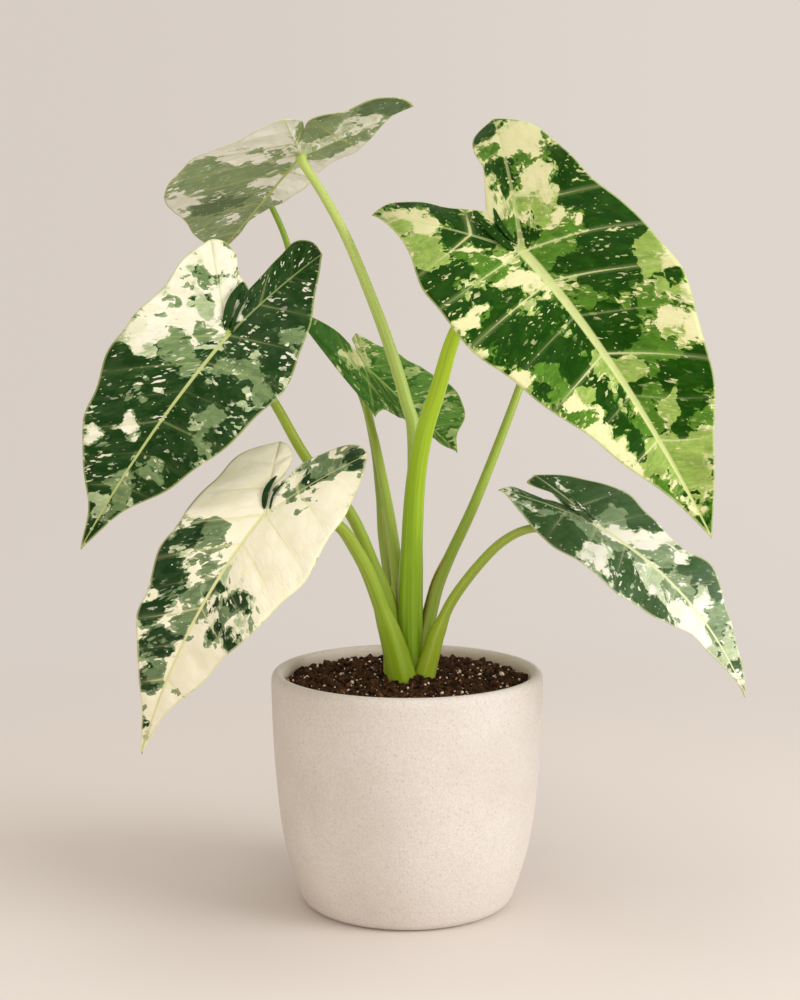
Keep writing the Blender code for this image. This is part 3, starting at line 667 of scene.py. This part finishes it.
def makeMarbling():
    # colour of a variegated blade: two layers of green tissue broken up cell by cell, their four
    # mixes, flecks, pale veins, painted shade in the quilted creases of cream tissue and beside the
    # strong veins, a thin pale margin, and a greyer underside; tissue is green where lumpy noise +
    # marks + chance + the layer's ground is over 0, all read at the cell's middle
    form = mosaic
    tree, given, result = newGroup("leafMarbling", ("Seed", "Veins", "Upper", "Lower"),
                                   ("Dark", "Mid", "Light", "Cream", "Rib", "Veil"),
                                   ("Colour", "Roughness", "Height"))
    grain = shifted(tree, attribute(tree, "grain"), given["Seed"])
    wander = noise(tree, grain, form["wander"], 1.5, 0.5, 1)
    warped = addNode(tree, "VectorMath", {0: wander, 1: (form["warp"],) * 3, 2: grain},
                     operation="MULTIPLY_ADD").outputs[0]
    marks = parts(tree, attribute(tree, "shade"))
    layers = []
    for layer, marked in zip(form["layers"].values(), marks):
        _, chance, middle = cells(tree, shifted(tree, warped, (layer["away"],) * 3),
                                  layer["cells"])
        lumps = compute(tree, "SUBTRACT", noise(tree, middle, layer["lumps"], 5.0, 0.66), 0.5)
        field = timesPlus(tree, lumps, form["lumpy"], given[layer["ground"]])
        field = timesPlus(tree, marked, form["marks"], field)
        odd = compute(tree, "SUBTRACT", parts(tree, chance)[0], 0.5)
        field = timesPlus(tree, odd, form["odd"], field)
        layers.append((softStep(tree, field, -form["edge"], form["edge"]), middle, field))
    (upper, middle, high), (lower, middleLow, low) = layers
    anyGreen = compute(tree, "MAXIMUM", upper, lower)

    # the four tones: each drifts towards its neighbour where its field is weak or its tint high
    tint = softStep(tree, noise(tree, middle, 0.12, 2.0), 0.4, 0.62)
    tintLow = softStep(tree, noise(tree, middleLow, 0.16, 2.0), 0.4, 0.62)
    pale = times(tree, softStep(tree, low, -0.4, -0.28, 0.0, form["creamTint"]),
                 softStep(tree, high, 0.0, -0.5))
    creamTone = mixColour(tree, pale, given["Cream"], given["Light"])
    lightTone = mixColour(tree, softStep(tree, low, 0.34, 0.3, 0.0, form["lightTint"]),
                          given["Light"], given["Cream"])
    lightTone = mixColour(tree, times(tree, tintLow, form["lightMottle"]), lightTone, given["Mid"])
    midTone = mixColour(tree, softStep(tree, high, 0.3, 0.26, 0.0, form["midTint"]), given["Mid"],
                        given["Light"])
    midTone = mixColour(tree, times(tree, tint, form["midMottle"]), midTone, given["Dark"])
    nearEdge = softStep(tree, compute(tree, "MINIMUM", high, low), 0.14, 0.1, 0.0,
                        form["darkTint"])
    darkTone = mixColour(tree, nearEdge, given["Dark"], given["Mid"])
    darkTone = mixColour(tree, times(tree, tintLow, form["darkMottle"]), darkTone, given["Mid"])
    green = mixColour(tree, upper, lightTone, midTone)
    green = mixColour(tree, times(tree, upper, lower), green, darkTone)

    # soft clouds, and streaks that run out from the midrib
    cloud = noise(tree, grain, 0.12, 3.0, 0.6)
    streak = noise(tree, stretched(tree, grain, (0.22, 1.5, 1.0)), 0.55, 3.0, 0.6)
    bright = times(tree, softStep(tree, cloud, 0.3, 0.7, 0.85, 1.12),
                   softStep(tree, streak, 0.3, 0.7, 0.9, 1.1))
    bright = addNode(tree, "CombineColor", {0: bright, 1: bright, 2: bright}).outputs[0]
    green = mixColour(tree, 1.0, green, bright, "MULTIPLY")
    colour = mixColour(tree, anyGreen, creamTone, green)

    # chips are whole cells in drifts, flecks are dots in rare cells, both on green tissue only
    _, chance, spot = cells(tree, stretched(tree, warped, (0.75, 1.2, 1.0)), form["chipCells"])
    chip = timesPlus(tree, parts(tree, chance)[0], 0.12, noise(tree, spot, 0.3, 2.0))
    chip = times(tree, softStep(tree, chip, *form["chips"]),
                 softStep(tree, noise(tree, grain, 0.045, 2.0), 0.47, 0.6))
    chip = times(tree, times(tree, chip, anyGreen), form["chipStrength"])
    colour = mixColour(tree, chip, colour, mixColour(tree, tint, given["Cream"], given["Light"]))
    away, chance, _ = cells(tree, warped, form["fleckCells"])
    fleck = times(tree, softStep(tree, parts(tree, chance)[1], *form["flecks"]),
                  softStep(tree, away, 0.3, 0.16))
    fleck = times(tree, times(tree, fleck, anyGreen), form["fleckStrength"])
    colour = mixColour(tree, fleck, colour, given["Cream"])
    quilt = cells(tree, warped, form["quilt"])[0]
    # painted shade: on cream tissue the colour is drawn towards the darker rib colour where the
    # quilted relief sinks into its creases
    creaseShade = times(tree, softStep(tree, quilt, 0.4, 0.75, 0.0, form["creaseShade"]),
                   compute(tree, "SUBTRACT", 1.0, anyGreen))
    colour = mixColour(tree, creaseShade, colour, given["Rib"])

    # side veins: off is the distance to the nearest one; every second vein, and the first by
    # the stalk, is strong
    number, share, gap = parts(tree, attribute(tree, "vein"))
    ribAway, edgeAway, under = parts(tree, attribute(tree, "rib"))
    half = times(tree, number, 0.5)
    off = compute(tree, "ABSOLUTE", compute(tree, "SUBTRACT", half, compute(tree, "ROUND", half)))
    off = times(tree, off, times(tree, gap, 2.0))
    quarter = times(tree, number, 0.25)
    fourth = compute(tree, "SUBTRACT", quarter, compute(tree, "ROUND", quarter))
    strong = softStep(tree, compute(tree, "ABSOLUTE", fourth), 0.26, 0.24)
    lobeStart = 2.0 * bladeForm["veins"]
    first = compute(tree, "ABSOLUTE", compute(tree, "SUBTRACT", number, lobeStart))
    strong = compute(tree, "MAXIMUM", strong, softStep(tree, first, 1.02, 0.98))
    strong = times(tree, given["Veins"], timesPlus(tree, strong, 0.75, 0.25))
    thin = softStep(tree, share, 0.0, 1.0, 0.7, 0.2)
    onVein = compute(tree, "SUBTRACT", 1.0, softStep(tree, off, times(tree, thin, 0.45),
                                                     times(tree, thin, 1.5)))
    onVein = times(tree, onVein, softStep(tree, share, 0.3, 1.0, 0.8, 0.1))
    onVein = times(tree, onVein, strong)
    # painted shade: within 3 mm of each strong vein the colour is drawn towards the rib colour, the
    # shade of the hollow along the vein
    veinShadeBand = times(tree, softStep(tree, off, 3.0, 0.0, 0.0, form["veinShadeBand"]), strong)
    onRib = times(tree, softStep(tree, ribAway, 1.3, 0.75),
                  softStep(tree, number, lobeStart - 0.4, lobeStart + 0.8, 0.95, 0.45))
    onEdge = times(tree, softStep(tree, edgeAway, 1.1, 0.3), form["margin"])
    for amount in (veinShadeBand, onVein, onRib, onEdge):
        colour = mixColour(tree, amount, colour, given["Rib"])
    feed(tree, result["Colour"], mixColour(tree, times(tree, under, form["veil"]), colour,
                                           given["Veil"]))
    rough = softStep(tree, streak, 0.3, 0.7, 0.42, 0.52)
    feed(tree, result["Roughness"], timesPlus(tree, under, 0.2, rough))
    lift = timesPlus(tree, onVein, -0.5, times(tree, streak, 0.5))
    lift = timesPlus(tree, noise(tree, grain, 1.4, 2.0), 0.25, lift)
    feed(tree, result["Height"], timesPlus(tree, quilt, -1.3, lift))
    return tree


def bladeMaterial(name, group):
    # the marbling with one leaf's tones, on a waxy and slightly see-through skin
    tone = tones[name]
    made, tree, shader = newMaterial("blade " + name, Specular_IOR_Level=tone["gloss"],
                                     Subsurface_Weight=0.06, Subsurface_Scale=0.002)
    given = {key.capitalize(): hexColour(value) if isinstance(value, str) else value
             for key, value in tone.items() if key != "gloss"}
    out = placed(tree, group, given)
    tree.links.new(out["Colour"], shader.inputs["Base Color"])
    tree.links.new(out["Roughness"], shader.inputs["Roughness"])
    relief(tree, shader, out["Height"], mosaic["reliefStrength"], mosaic["reliefDepth"])
    return made


marbling = makeMarbling()
bladeLooks = {name: bladeMaterial(name, marbling) for name in tones}
for name, leaf in leaves.items():
    addBlade(name, leaf, bladeLooks[leaf["tone"]])
    if "folds" in leaf:
        addFolds(name, leaf, bladeLooks[leaf["tone"]])
print("leaves done")


# millimetres; sheathShare is how much of the stalk its sheath wraps, and wrap half of the angle it
# covers, in degrees, low and high
stalkForm = dict(foot=124.0, soil=136.5, rings=130, sides=40, sheathShare=0.36, sheathWall=0.55,
                 wrap=(122, 150), lip=1.2, flare=1.2, ribs=((10, 0.012, 0), (17, 0.008, 1)),
                 pale="dfe68c", deep="3f6a10", footColour="a9ab5c", dry="cf9a62",
                 reliefStrength=0.35, reliefDepth=0.0003)

# foot on the rootstock, radii at the soil, a third of the way up and at the blade, points passed,
# and the colours low and high on the stalk
stalks = {
    "right_large": dict(foot=(3, -3), radii=(7.0, 6.4, 3.2), low="7ba305", high="b8d62e",
                        route=[(2, -4, 186), (4, -8, 248), (9, -11, 284), (18, -14, 314),
                               (28, -20, 347), (45, -28, 375)]),
    "left_high": dict(foot=(-9, -2), radii=(4.6, 3.8, 2.4), low="8fab30", high="a3b840",
                      route=[(-11, -4, 180), (-21, -8, 210), (-35, -14, 242), (-59, -26, 274),
                             (-78, -36, 309)]),
    "left_low": dict(foot=(-3.5, -13), radii=(8.2, 4.6, 2.4), low="88a516", high="a9bd4e",
                     route=[(-10, -18, 167), (-21, -26, 201), (-30, -34, 221), (-41, -46, 238),
                            (-59, -68, 247)]),
    "right_low": dict(foot=(10.5, -10), radii=(5.8, 3.2, 2.2), low="99b024", high="a6b850",
                      wrap=(150, 172),
                      route=[(15, -12, 157), (18.5, -13, 169), (27, -13, 188), (43, -15, 210),
                             (58, -18, 225), (74, -20, 232), (94, -20, 230)]),
    "top_back": dict(foot=(6, 10), radii=(5.0, 4.4, 2.6), low="97b440", high="bdd070",
                     route=[(4, 12, 208), (4, 13, 282), (-1, 13, 306), (-10, 13, 336),
                            (-21, 14, 366), (-36, 15, 402), (-50, 16, 428)]),
    "mid_back": dict(foot=(-6, 10), radii=(4.4, 3.8, 2.0), low="97b040", high="a6ba50",
                     route=[(-4, 12, 165), (-6, 20, 197), (-9, 30, 221), (-13, 44, 243),
                            (-20, 67, 275), (-26, 85, 298)]),
    "hid_right": dict(foot=(7, -5), radii=(4.0, 3.4, 2.0), low="95ae3c", high="a0b44c",
                      wrap=(138, 176),
                      route=[(10, -2, 160), (14.5, 3, 180), (19, 7, 196), (27, 11, 213),
                             (41, 18, 242), (57, 30, 280), (69, 42, 310), (82, 58, 345)]),
    "hid_top": dict(foot=(-1, 19), radii=(3.6, 3.2, 2.0), low="93aa48", high="7f9c30",
                    route=[(-8, 25, 178), (-14, 42, 216), (-17, 60, 246), (-21, 82, 274),
                           (-30, 107, 305), (-49, 126, 331), (-68, 139, 358), (-81, 149, 405)]),
}


def stalkLine(name, stalk):
    # from the foot, through the points passed, square into the blade; with the way the stalk leans
    leaf = leaves[name]
    out = leafAxes(leaf)[3]
    reach = np.array(leaf["stalk"], float)
    foot = (*stalk["foot"], stalkForm["foot"])
    collar = (*stalk["foot"], stalkForm["soil"] + 3)
    route = [foot, collar, *stalk["route"], tuple(reach - out * 8), tuple(reach - out * 1.6)]
    lean = unit(np.array([reach[0] - foot[0], reach[1] - foot[1], 0.0]))
    return smoothLine(route, stalkForm["rings"]), lean


def stemNumbers(angle, share):
    # cosine and sine round the stalk and the share of the way up, one row a point of the grid
    return np.stack([np.cos(angle), np.sin(angle), np.broadcast_to(share[:, None], angle.shape)],
                    -1).reshape(-1, 3)


def addStalk(name, stalk, material):
    # ring radius falls from foot to blade, with low ribs round it: radius * (1 + cos of the angle);
    # the sheath is a thin wrap, open on the stalk's inner side, whose edges stand out a little and
    # whose angle widens while it sinks into the stalk at its top
    line, lean = stalkLine(name, stalk)
    form = stalkForm
    share = np.linspace(0, 1, len(line))
    low, middle, high = stalk["radii"]
    radius = np.interp(share, (0, 0.06, 0.34, 0.965, 1),
                       (low, low, middle, high, high * form["flare"]))
    turn = np.linspace(0, 2 * math.pi, form["sides"], endpoint=False)
    ribs = 1 + sum(depth * np.cos(count * turn + phase) for count, depth, phase in form["ribs"])
    grow = radius[:, None] * ribs
    points, triangles = swept(line, grow * np.cos(turn), grow * np.sin(turn), lean)
    stem = stemNumbers(np.broadcast_to(turn, grow.shape), share)

    rows = int(form["rings"] * form["sheathShare"])
    up = np.linspace(0, 1, rows)
    half = np.radians(np.interp(up, (0, 1), stalk.get("wrap", form["wrap"])))[:, None]
    across = np.linspace(-1, 1, 25)
    lip = form["lip"] * np.abs(across) ** 6 * (1 - up[:, None] ** 3)
    wall = form["sheathWall"] * (1 - 0.75 * np.abs(across) ** 4)
    inner = radius[:rows, None] + np.interp(up, (0, 0.8, 1), (0.3, 0.1, -0.75))[:, None] + lip
    angle = half * np.hstack([across, across[::-1]])
    loop = np.hstack([inner + wall, inner[:, ::-1] - 0.25])
    wrap, wrapTriangles = swept(line[:rows], loop * np.cos(angle), loop * np.sin(angle), lean)
    edge = np.abs(np.hstack([across, across[::-1]])) ** 8 * np.ones((rows, 1))
    wear = np.zeros((len(points) + len(wrap), 3))  # dry edges of the sheath, and 1 on the sheath
    wear[len(points):len(points) + edge.size, 0] = edge.ravel()
    wear[len(points):, 1] = 1
    stems = np.vstack([stem, [[0, 0, 0], [0, 0, 1]], stemNumbers(angle, share[:rows]),
                       [[0, 0, 0], [0, 0, share[rows]]]])
    addPiece("stem_" + name, np.vstack([points, wrap]),
             np.vstack([triangles, wrapTriangles + len(points)]), material, "stalk",
             ["stalk_" + name], dict(stem=stems, wear=wear))


def makeStalkSkin():
    # fine lengthwise streaks and pale lines over a colour that changes up the stalk, a paler foot,
    # and dry orange-pink edges on the sheath
    tree, given, result = newGroup("stalkSkin", (), ("Low", "High"), ("Colour", "Height"))
    stem = attribute(tree, "stem")
    up = parts(tree, stem)[2]
    dry = parts(tree, attribute(tree, "wear"))[0]
    spun = stretched(tree, stem, (2.6, 2.6, 1.6))
    streak = noise(tree, spun, 1.3, 4.0, 0.65)
    thread = noise(tree, spun, 3.4, 2.0, 0.5)
    pale = mixColour(tree, 0.4, given["High"], hexColour(stalkForm["pale"]))
    deep = mixColour(tree, 0.35, given["Low"], hexColour(stalkForm["deep"]))
    colour = mixColour(tree, softStep(tree, up, 0.1, 0.9), given["Low"], given["High"])
    for value, start, end, most, second in (
            (streak, 0.45, 0.8, 0.45, pale), (streak, 0.52, 0.22, 0.5, deep),
            (thread, 0.55, 0.8, 0.18, pale),
            (up, 0.075, 0.045, 0.35, hexColour(stalkForm["footColour"])),
            (dry, 0.45, 0.95, 0.6, hexColour(stalkForm["dry"]))):
        colour = mixColour(tree, softStep(tree, value, start, end, 0.0, most), colour, second)
    feed(tree, result["Colour"], colour)
    feed(tree, result["Height"], compute(tree, "ADD", streak, times(tree, thread, 0.5)))
    return tree


stalkSkin = makeStalkSkin()
for name, stalk in stalks.items():
    look, tree, shader = newMaterial("stalk " + name, Roughness=0.33, Specular_IOR_Level=0.24,
                                     Subsurface_Weight=0.05, Subsurface_Scale=0.002)
    skin = placed(tree, stalkSkin, dict(Low=hexColour(stalk["low"]), High=hexColour(stalk["high"])))
    tree.links.new(skin["Colour"], shader.inputs["Base Color"])
    relief(tree, shader, skin["Height"], stalkForm["reliefStrength"], stalkForm["reliefDepth"])
    addStalk(name, stalk, look)
print("stalks done")


# profiles as (radius, height) in millimetres, from the middle of the foot over the lip and down
# the inner wall
potForm = dict(
    sides=256, wallPoints=60,
    foot=[(0, 0.0), (40, 0.0), (57.0, 0.0), (59.4, 0.25), (61.6, 1.1), (63.4, 2.6), (64.8, 4.9)],
    wall=[(66.0, 8.0), (69.8, 19.0), (74.6, 37.0), (78.2, 60.0), (80.9, 92.0), (82.1, 118.0),
          (82.5, 137.2)],
    lip=[(82.4, 138.8), (82.0, 140.3), (81.2, 141.7), (80.2, 142.6), (78.9, 143.0), (77.6, 142.9),
         (76.5, 142.2), (75.6, 141.1), (75.1, 139.6), (74.8, 137.0)],
    inside=[(74.5, 132.0), (74.0, 100.0), (71.5, 58.0), (66.5, 29.0), (57.0, 15.0), (40.0, 11.0),
            (0, 11.0)],
    clay=("d8d0c7", "e1dad2"), sand="bbb0a4", pit="a2917e", paintedLightInnerWall="ecdcc8",
    sandShare=0.4, pitShare=0.16, paintedLightShare=0.7, reliefStrength=0.85, reliefDepth=0.0004)


def potMaterial():
    # fine sandy stoneware: clouds of warmer clay, sand, and pits in one cell of four; the inner
    # wall above the soil is painted lighter, painted light that stands in for light reaching into
    # the pot
    form = potForm
    made, tree, shader = newMaterial("stoneware", Roughness=0.82, Specular_IOR_Level=0.25)
    at = objectAt(tree)
    cloud = noise(tree, at, 16.0, 3.0, 0.55)
    sand = noise(tree, at, 780.0, 3.0, 0.75)
    away, chance, _ = cells(tree, at, 430.0)
    pit = times(tree, softStep(tree, away, 0.4, 0.15),
                softStep(tree, parts(tree, chance)[0], 0.72, 0.8))
    x, y, z = parts(tree, at)
    # painted light: on the inner wall above the soil the clay is mixed towards a lighter colour
    # than outside
    inside = times(tree, softStep(tree, fromAxis(tree, x, y), 0.0775, 0.0752),
                   softStep(tree, z, 0.125, 0.132, 0.0, form["paintedLightShare"]))
    colour = mixColour(tree, softStep(tree, cloud, 0.3, 0.7), *map(hexColour, form["clay"]))
    for amount, second in ((softStep(tree, sand, 0.35, 0.7, 0.0, form["sandShare"]), "sand"),
                           (times(tree, pit, form["pitShare"]), "pit"), (inside, "paintedLightInnerWall")):
        colour = mixColour(tree, amount, colour, hexColour(form[second]))
    tree.links.new(colour, shader.inputs["Base Color"])
    relief(tree, shader, timesPlus(tree, pit, -0.4, sand), form["reliefStrength"],
           form["reliefDepth"])
    return made


potProfile = (potForm["foot"] + smoothLine(potForm["wall"], potForm["wallPoints"]).tolist()
              + potForm["lip"] + potForm["inside"])
addPiece("potShell", *turned(potProfile, potForm["sides"]), potMaterial(), "pot", ["pot"])
print("pot done")


# millimetres; each kind of bit has its count, size, flatness, seed and how far it stands proud
soilForm = dict(top=136.5, edge=74.2, sides=384, rings=120, under=134.0, drop=0.8,
                clod=0.65, ripples=((0.6, 7.0, 3), (0.45, 3.2, 4), (0.18, 1.6, 5)), rough=0.8,
                mound=5.5, moundWidth=26.0, moundAt=(3, -4), fall=1.6, fallFrom=66, gap=0.3,
                clods=dict(count=2600, size=1.75, flat=(1, 1, 1), seed=2, sink=0.25),
                bark=dict(count=260, size=1.3, flat=(1.5, 0.8, 0.5), seed=5, sink=0.5),
                perlite=dict(count=520, size=0.72, flat=(1, 1, 0.9), seed=8, sink=2.0),
                dark="180b04", brown="5f3b1d", highlightSpecks="8c6742")


def soilHeight(x, y):
    # crossed waves of crumbs, a mound round the stalks, finer random lumps, and a fall at the wall
    form = soilForm
    coarse = np.sin(0.43 * x + 1.7 * np.sin(0.19 * y)) * np.sin(0.39 * y + 1.3 * np.sin(0.23 * x))
    at = np.stack([x, y], -1)
    rough = sum(much * ripple(at, scale, seed) for much, scale, seed in form["ripples"])
    middle = form["moundAt"]
    mound = form["mound"] * np.exp(-((x - middle[0]) ** 2 + (y - middle[1]) ** 2)
                                   / form["moundWidth"] ** 2)
    outer = (np.hypot(x, y) - form["fallFrom"]) / (form["edge"] - form["fallFrom"])
    fall = form["fall"] * np.clip(outer, 0, 1) ** 2
    return form["top"] - form["drop"] + form["clod"] * coarse + form["rough"] * rough + mound - fall


def soilMaterial():
    # near-black and brown by lumps, with paler specks that are painted highlights on the crumbs
    made, tree, shader = newMaterial("potting soil", Roughness=0.92, Specular_IOR_Level=0.2)
    at = objectAt(tree)
    lump = noise(tree, at, 260.0, 4.0, 0.7)
    highlightSpecks = noise(tree, at, 1100.0, 3.0, 0.7)
    colour = mixColour(tree, softStep(tree, lump, 0.4, 0.62), hexColour(soilForm["dark"]),
                       hexColour(soilForm["brown"]))
    # painted highlight: paler specks scattered over the soil stand in for light catching its crumbs
    colour = mixColour(tree, softStep(tree, highlightSpecks, 0.5, 0.75, 0.0, 0.5), colour,
                       hexColour(soilForm["highlightSpecks"]))
    tree.links.new(colour, shader.inputs["Base Color"])
    relief(tree, shader, compute(tree, "ADD", lump, highlightSpecks), 0.9, 0.0016)
    return made


def scattered(count, size, flat, seed, sink):
    # count rough twenty-sided lumps: each copy of the solid is stretched, jittered, turned by a
    # random quaternion and set on the soil; all copies are one array
    pick = np.random.default_rng(seed)
    golden = (1 + math.sqrt(5)) / 2
    solid = unit(np.array([(-1, golden, 0), (1, golden, 0), (-1, -golden, 0), (1, -golden, 0),
                           (0, -1, golden), (0, 1, golden), (0, -1, -golden), (0, 1, -golden),
                           (golden, 0, -1), (golden, 0, 1), (-golden, 0, -1), (-golden, 0, 1)]))
    sides = np.array([(0, 11, 5), (0, 5, 1), (0, 1, 7), (0, 7, 10), (0, 10, 11), (1, 5, 9),
                      (5, 11, 4), (11, 10, 2), (10, 7, 6), (7, 1, 8), (3, 9, 4), (3, 4, 2),
                      (3, 2, 6), (3, 6, 8), (3, 8, 9), (4, 9, 5), (2, 4, 11), (6, 2, 10),
                      (8, 6, 7), (9, 8, 1)])
    shape = solid * pick.uniform(0.72, 1.2, (count, 12, 1))
    stretch = pick.uniform(0.75, 1.25, (count, 1, 3)) * np.array(flat)
    shape = shape * stretch * np.exp(pick.normal(0, 0.35, (count, 1, 1))) * size
    w, x, y, z = unit(pick.normal(size=(count, 4))).T
    spin = np.stack([1 - 2 * (y * y + z * z), 2 * (x * y - z * w), 2 * (x * z + y * w),
                     2 * (x * y + z * w), 1 - 2 * (x * x + z * z), 2 * (y * z - x * w),
                     2 * (x * z - y * w), 2 * (y * z + x * w), 1 - 2 * (x * x + y * y)],
                    -1).reshape(count, 3, 3)
    shape = np.einsum("nij,nkj->nki", spin, shape)
    radius = (soilForm["edge"] - 1.5) * np.sqrt(pick.uniform(0, 1, count))
    turn = pick.uniform(0, 2 * math.pi, count)
    reach = np.abs(shape).max((1, 2))
    keep = np.clip((soilForm["edge"] - soilForm["gap"] - reach) / radius, 0, 1)  # clear of the wall
    px, py = radius * np.cos(turn) * keep, radius * np.sin(turn) * keep
    spot = np.stack([px, py, soilHeight(px, py) + sink * size], -1)
    points = (shape + spot[:, None]).reshape(-1, 3)
    return points, (sides[None] + 12 * np.arange(count)[:, None, None]).reshape(-1, 3)


wallDown = [(radius - soilForm["gap"], height + (soilForm["gap"] if height < 20 else 0))
            for radius, height in potForm["inside"][::-1][1:]]
soilProfile = ([(0, wallDown[0][1])] + wallDown + [(soilForm["edge"], soilForm["under"])]
               + [(radius, soilForm["top"])
                  for radius in np.linspace(soilForm["edge"], 0, soilForm["rings"] + 1)])
soilPoints, soilTriangles = turned(soilProfile, soilForm["sides"])
onTop = soilPoints[:, 2] == soilForm["top"]
soilPoints[onTop, 2] = soilHeight(*soilPoints[onTop, :2].T)
clodPoints, clodTriangles = scattered(**soilForm["clods"])
addPiece("soilBed", np.vstack([soilPoints, clodPoints]),
         np.vstack([soilTriangles, clodTriangles + len(soilPoints)]), soilMaterial(), "soil",
         ["soil"])
barkLook = grainyLook("bark bits", 180.0, 3.0, 0.5, "3b2111", "8a5c3c", Roughness=0.85,
                      Specular_IOR_Level=0.2)[0]
addPiece("barkBits", *scattered(**soilForm["bark"]), barkLook, "soil")
perliteLook = grainyLook("perlite", 500.0, 2.0, 0.5, "d8b48c", "fff4e4", Roughness=0.75)[0]
addPiece("perlite", *scattered(**soilForm["perlite"]), perliteLook, "soil")
print("soil done")


# the knot of root under the soil on which the stalks stand
rootForm = dict(centre=(5.0, 1.0), sides=64, profile=[
    (0, 88.0), (10, 88.0), (20, 92.0), (27, 103.0), (29, 116.0), (28, 123.7), (0, 123.7)])
rootLook, tree, shader, rootGrain = grainyLook("rootstock bark", 140.0, 4.0, 0.6, "3a2616",
                                               "8d6a45", Roughness=0.85)
relief(tree, shader, rootGrain, 0.6, 0.001)
rootPoints, rootTriangles = turned(rootForm["profile"], rootForm["sides"])
addPiece("rootstockBark", rootPoints + [*rootForm["centre"], 0], rootTriangles, rootLook,
         "rootstock", ["rootstock"])
print("rootstock done")


# metres; flat is where the floor starts to bend up, and between glowFrom and glowTo it stops being
# lit by the lamps and gives its own light instead, painted a little lighter on the right, the key
# lamp's side, than on the left
studio = dict(floor="e2dad3", left="d7cdc4", right="dfd6cd", flat=2.3, bend=0.9, wallHeight=2.4,
              sides=96, glowFrom=0.28, glowTo=0.95, halfSpan=0.9, sky="f2e8dd", skyStrength=0.45)

lamps = dict(
    key=dict(place=(1.95, -0.85, 1.0), target=(0, 0, 0.25), size=1.5, power=36.0, colour="fafbff"),
    fill=dict(place=(-1.7, -1.5, 0.9), target=(0, 0, 0.25), size=1.8, power=3.5, colour="fff2e4"),
    top=dict(place=(-0.1, -0.3, 2.0), target=(0, 0, 0.2), size=1.6, power=14.0, colour="fffefc"),
    front=dict(place=(0.2, -2.4, 0.55), target=(0, 0, 0.25), size=2.2, power=6.5, colour="fffefc"),
    low=dict(place=(-0.5, -1.5, 0.12), target=(-0.1, 0.05, 0.45), size=0.9, power=3.6,
             colour="fffefc"))

view = dict(lens=66.33, sensor=36, place=(-0.00441, -1.1, 0.37593), down=6.706)  # mm, m, degrees


def addBackdrop():
    # a round floor that bends up into a wall all round: a flat disc, a quarter circle and a rise,
    # turned about the middle
    bend, flat, sides = studio["bend"], studio["flat"], studio["sides"]
    turn = np.linspace(0, math.pi / 2, 20)
    run = np.vstack([[(radius, 0.0) for radius in (0.3, 0.8, 1.5)],
                     np.stack([flat + bend * np.sin(turn), bend * (1 - np.cos(turn))], 1),
                     [(flat + bend, studio["wallHeight"])]])
    angle = np.linspace(0, 2 * math.pi, sides, endpoint=False)
    ring = np.stack([run[:, :1] * np.cos(angle), run[:, :1] * np.sin(angle),
                     np.broadcast_to(run[:, 1:], (len(run), sides))], -1).reshape(-1, 3)
    here = np.arange(sides)
    hub = np.stack([np.full(sides, len(ring)), here, (here + 1) % sides], 1)
    look, tree, shader = newMaterial("backdrop", Roughness=0.95, Specular_IOR_Level=0.0,
                                     Emission_Strength=1.0)
    x, y, _ = parts(tree, objectAt(tree))
    glow = softStep(tree, fromAxis(tree, x, y), studio["glowFrom"], studio["glowTo"])
    # painted light: the glow is not even but runs from a darker colour on the left to a lighter one
    # on the right, the key lamp's side
    even = mixColour(tree, softStep(tree, x, -studio["halfSpan"], studio["halfSpan"]),
                     hexColour(studio["left"]), hexColour(studio["right"]))
    black = (0.0, 0.0, 0.0, 1.0)
    tree.links.new(mixColour(tree, glow, hexColour(studio["floor"]), black),
                   shader.inputs["Base Color"])
    tree.links.new(mixColour(tree, glow, black, even), shader.inputs["Emission Color"])
    grid = gridTriangles(0, len(run), sides, True)[:, ::-1]
    makeMesh("backdrop", np.vstack([ring, [[0, 0, 0]]]), np.vstack([grid, hub]), look)


def addLamp(name, place, target, size, power, colour):
    # a round soft lamp at place that faces its target
    lamp = bpy.data.lights.new(name, "AREA")
    lamp.shape = "DISK"
    lamp.size = size
    lamp.energy = power
    lamp.color = hexColour(colour)[:3]
    made = bpy.data.objects.new(name, lamp)
    made.location = place
    made.visible_camera = False
    ahead = np.subtract(target, place)
    made.rotation_euler = (math.acos(-ahead[2] / np.linalg.norm(ahead)), 0,
                           math.atan2(ahead[1], ahead[0]) - math.pi / 2)
    bpy.context.scene.collection.objects.link(made)


addBackdrop()
for name, lamp in lamps.items():
    addLamp(name, **lamp)
world = bpy.data.worlds.new("studio")
world.use_nodes = True
world.node_tree.nodes["Background"].inputs["Color"].default_value = hexColour(studio["sky"])
world.node_tree.nodes["Background"].inputs["Strength"].default_value = studio["skyStrength"]
bpy.context.scene.world = world
bpy.context.scene.view_settings.view_transform = "Standard"

lens = bpy.data.cameras.new("camera")
lens.lens = view["lens"]
lens.sensor_width = view["sensor"]
camera = bpy.data.objects.new("camera", lens)
camera.location = view["place"]
camera.rotation_euler = (math.radians(90 - view["down"]), 0, 0)
bpy.context.scene.collection.objects.link(camera)
bpy.context.scene.camera = camera
print("studio done")
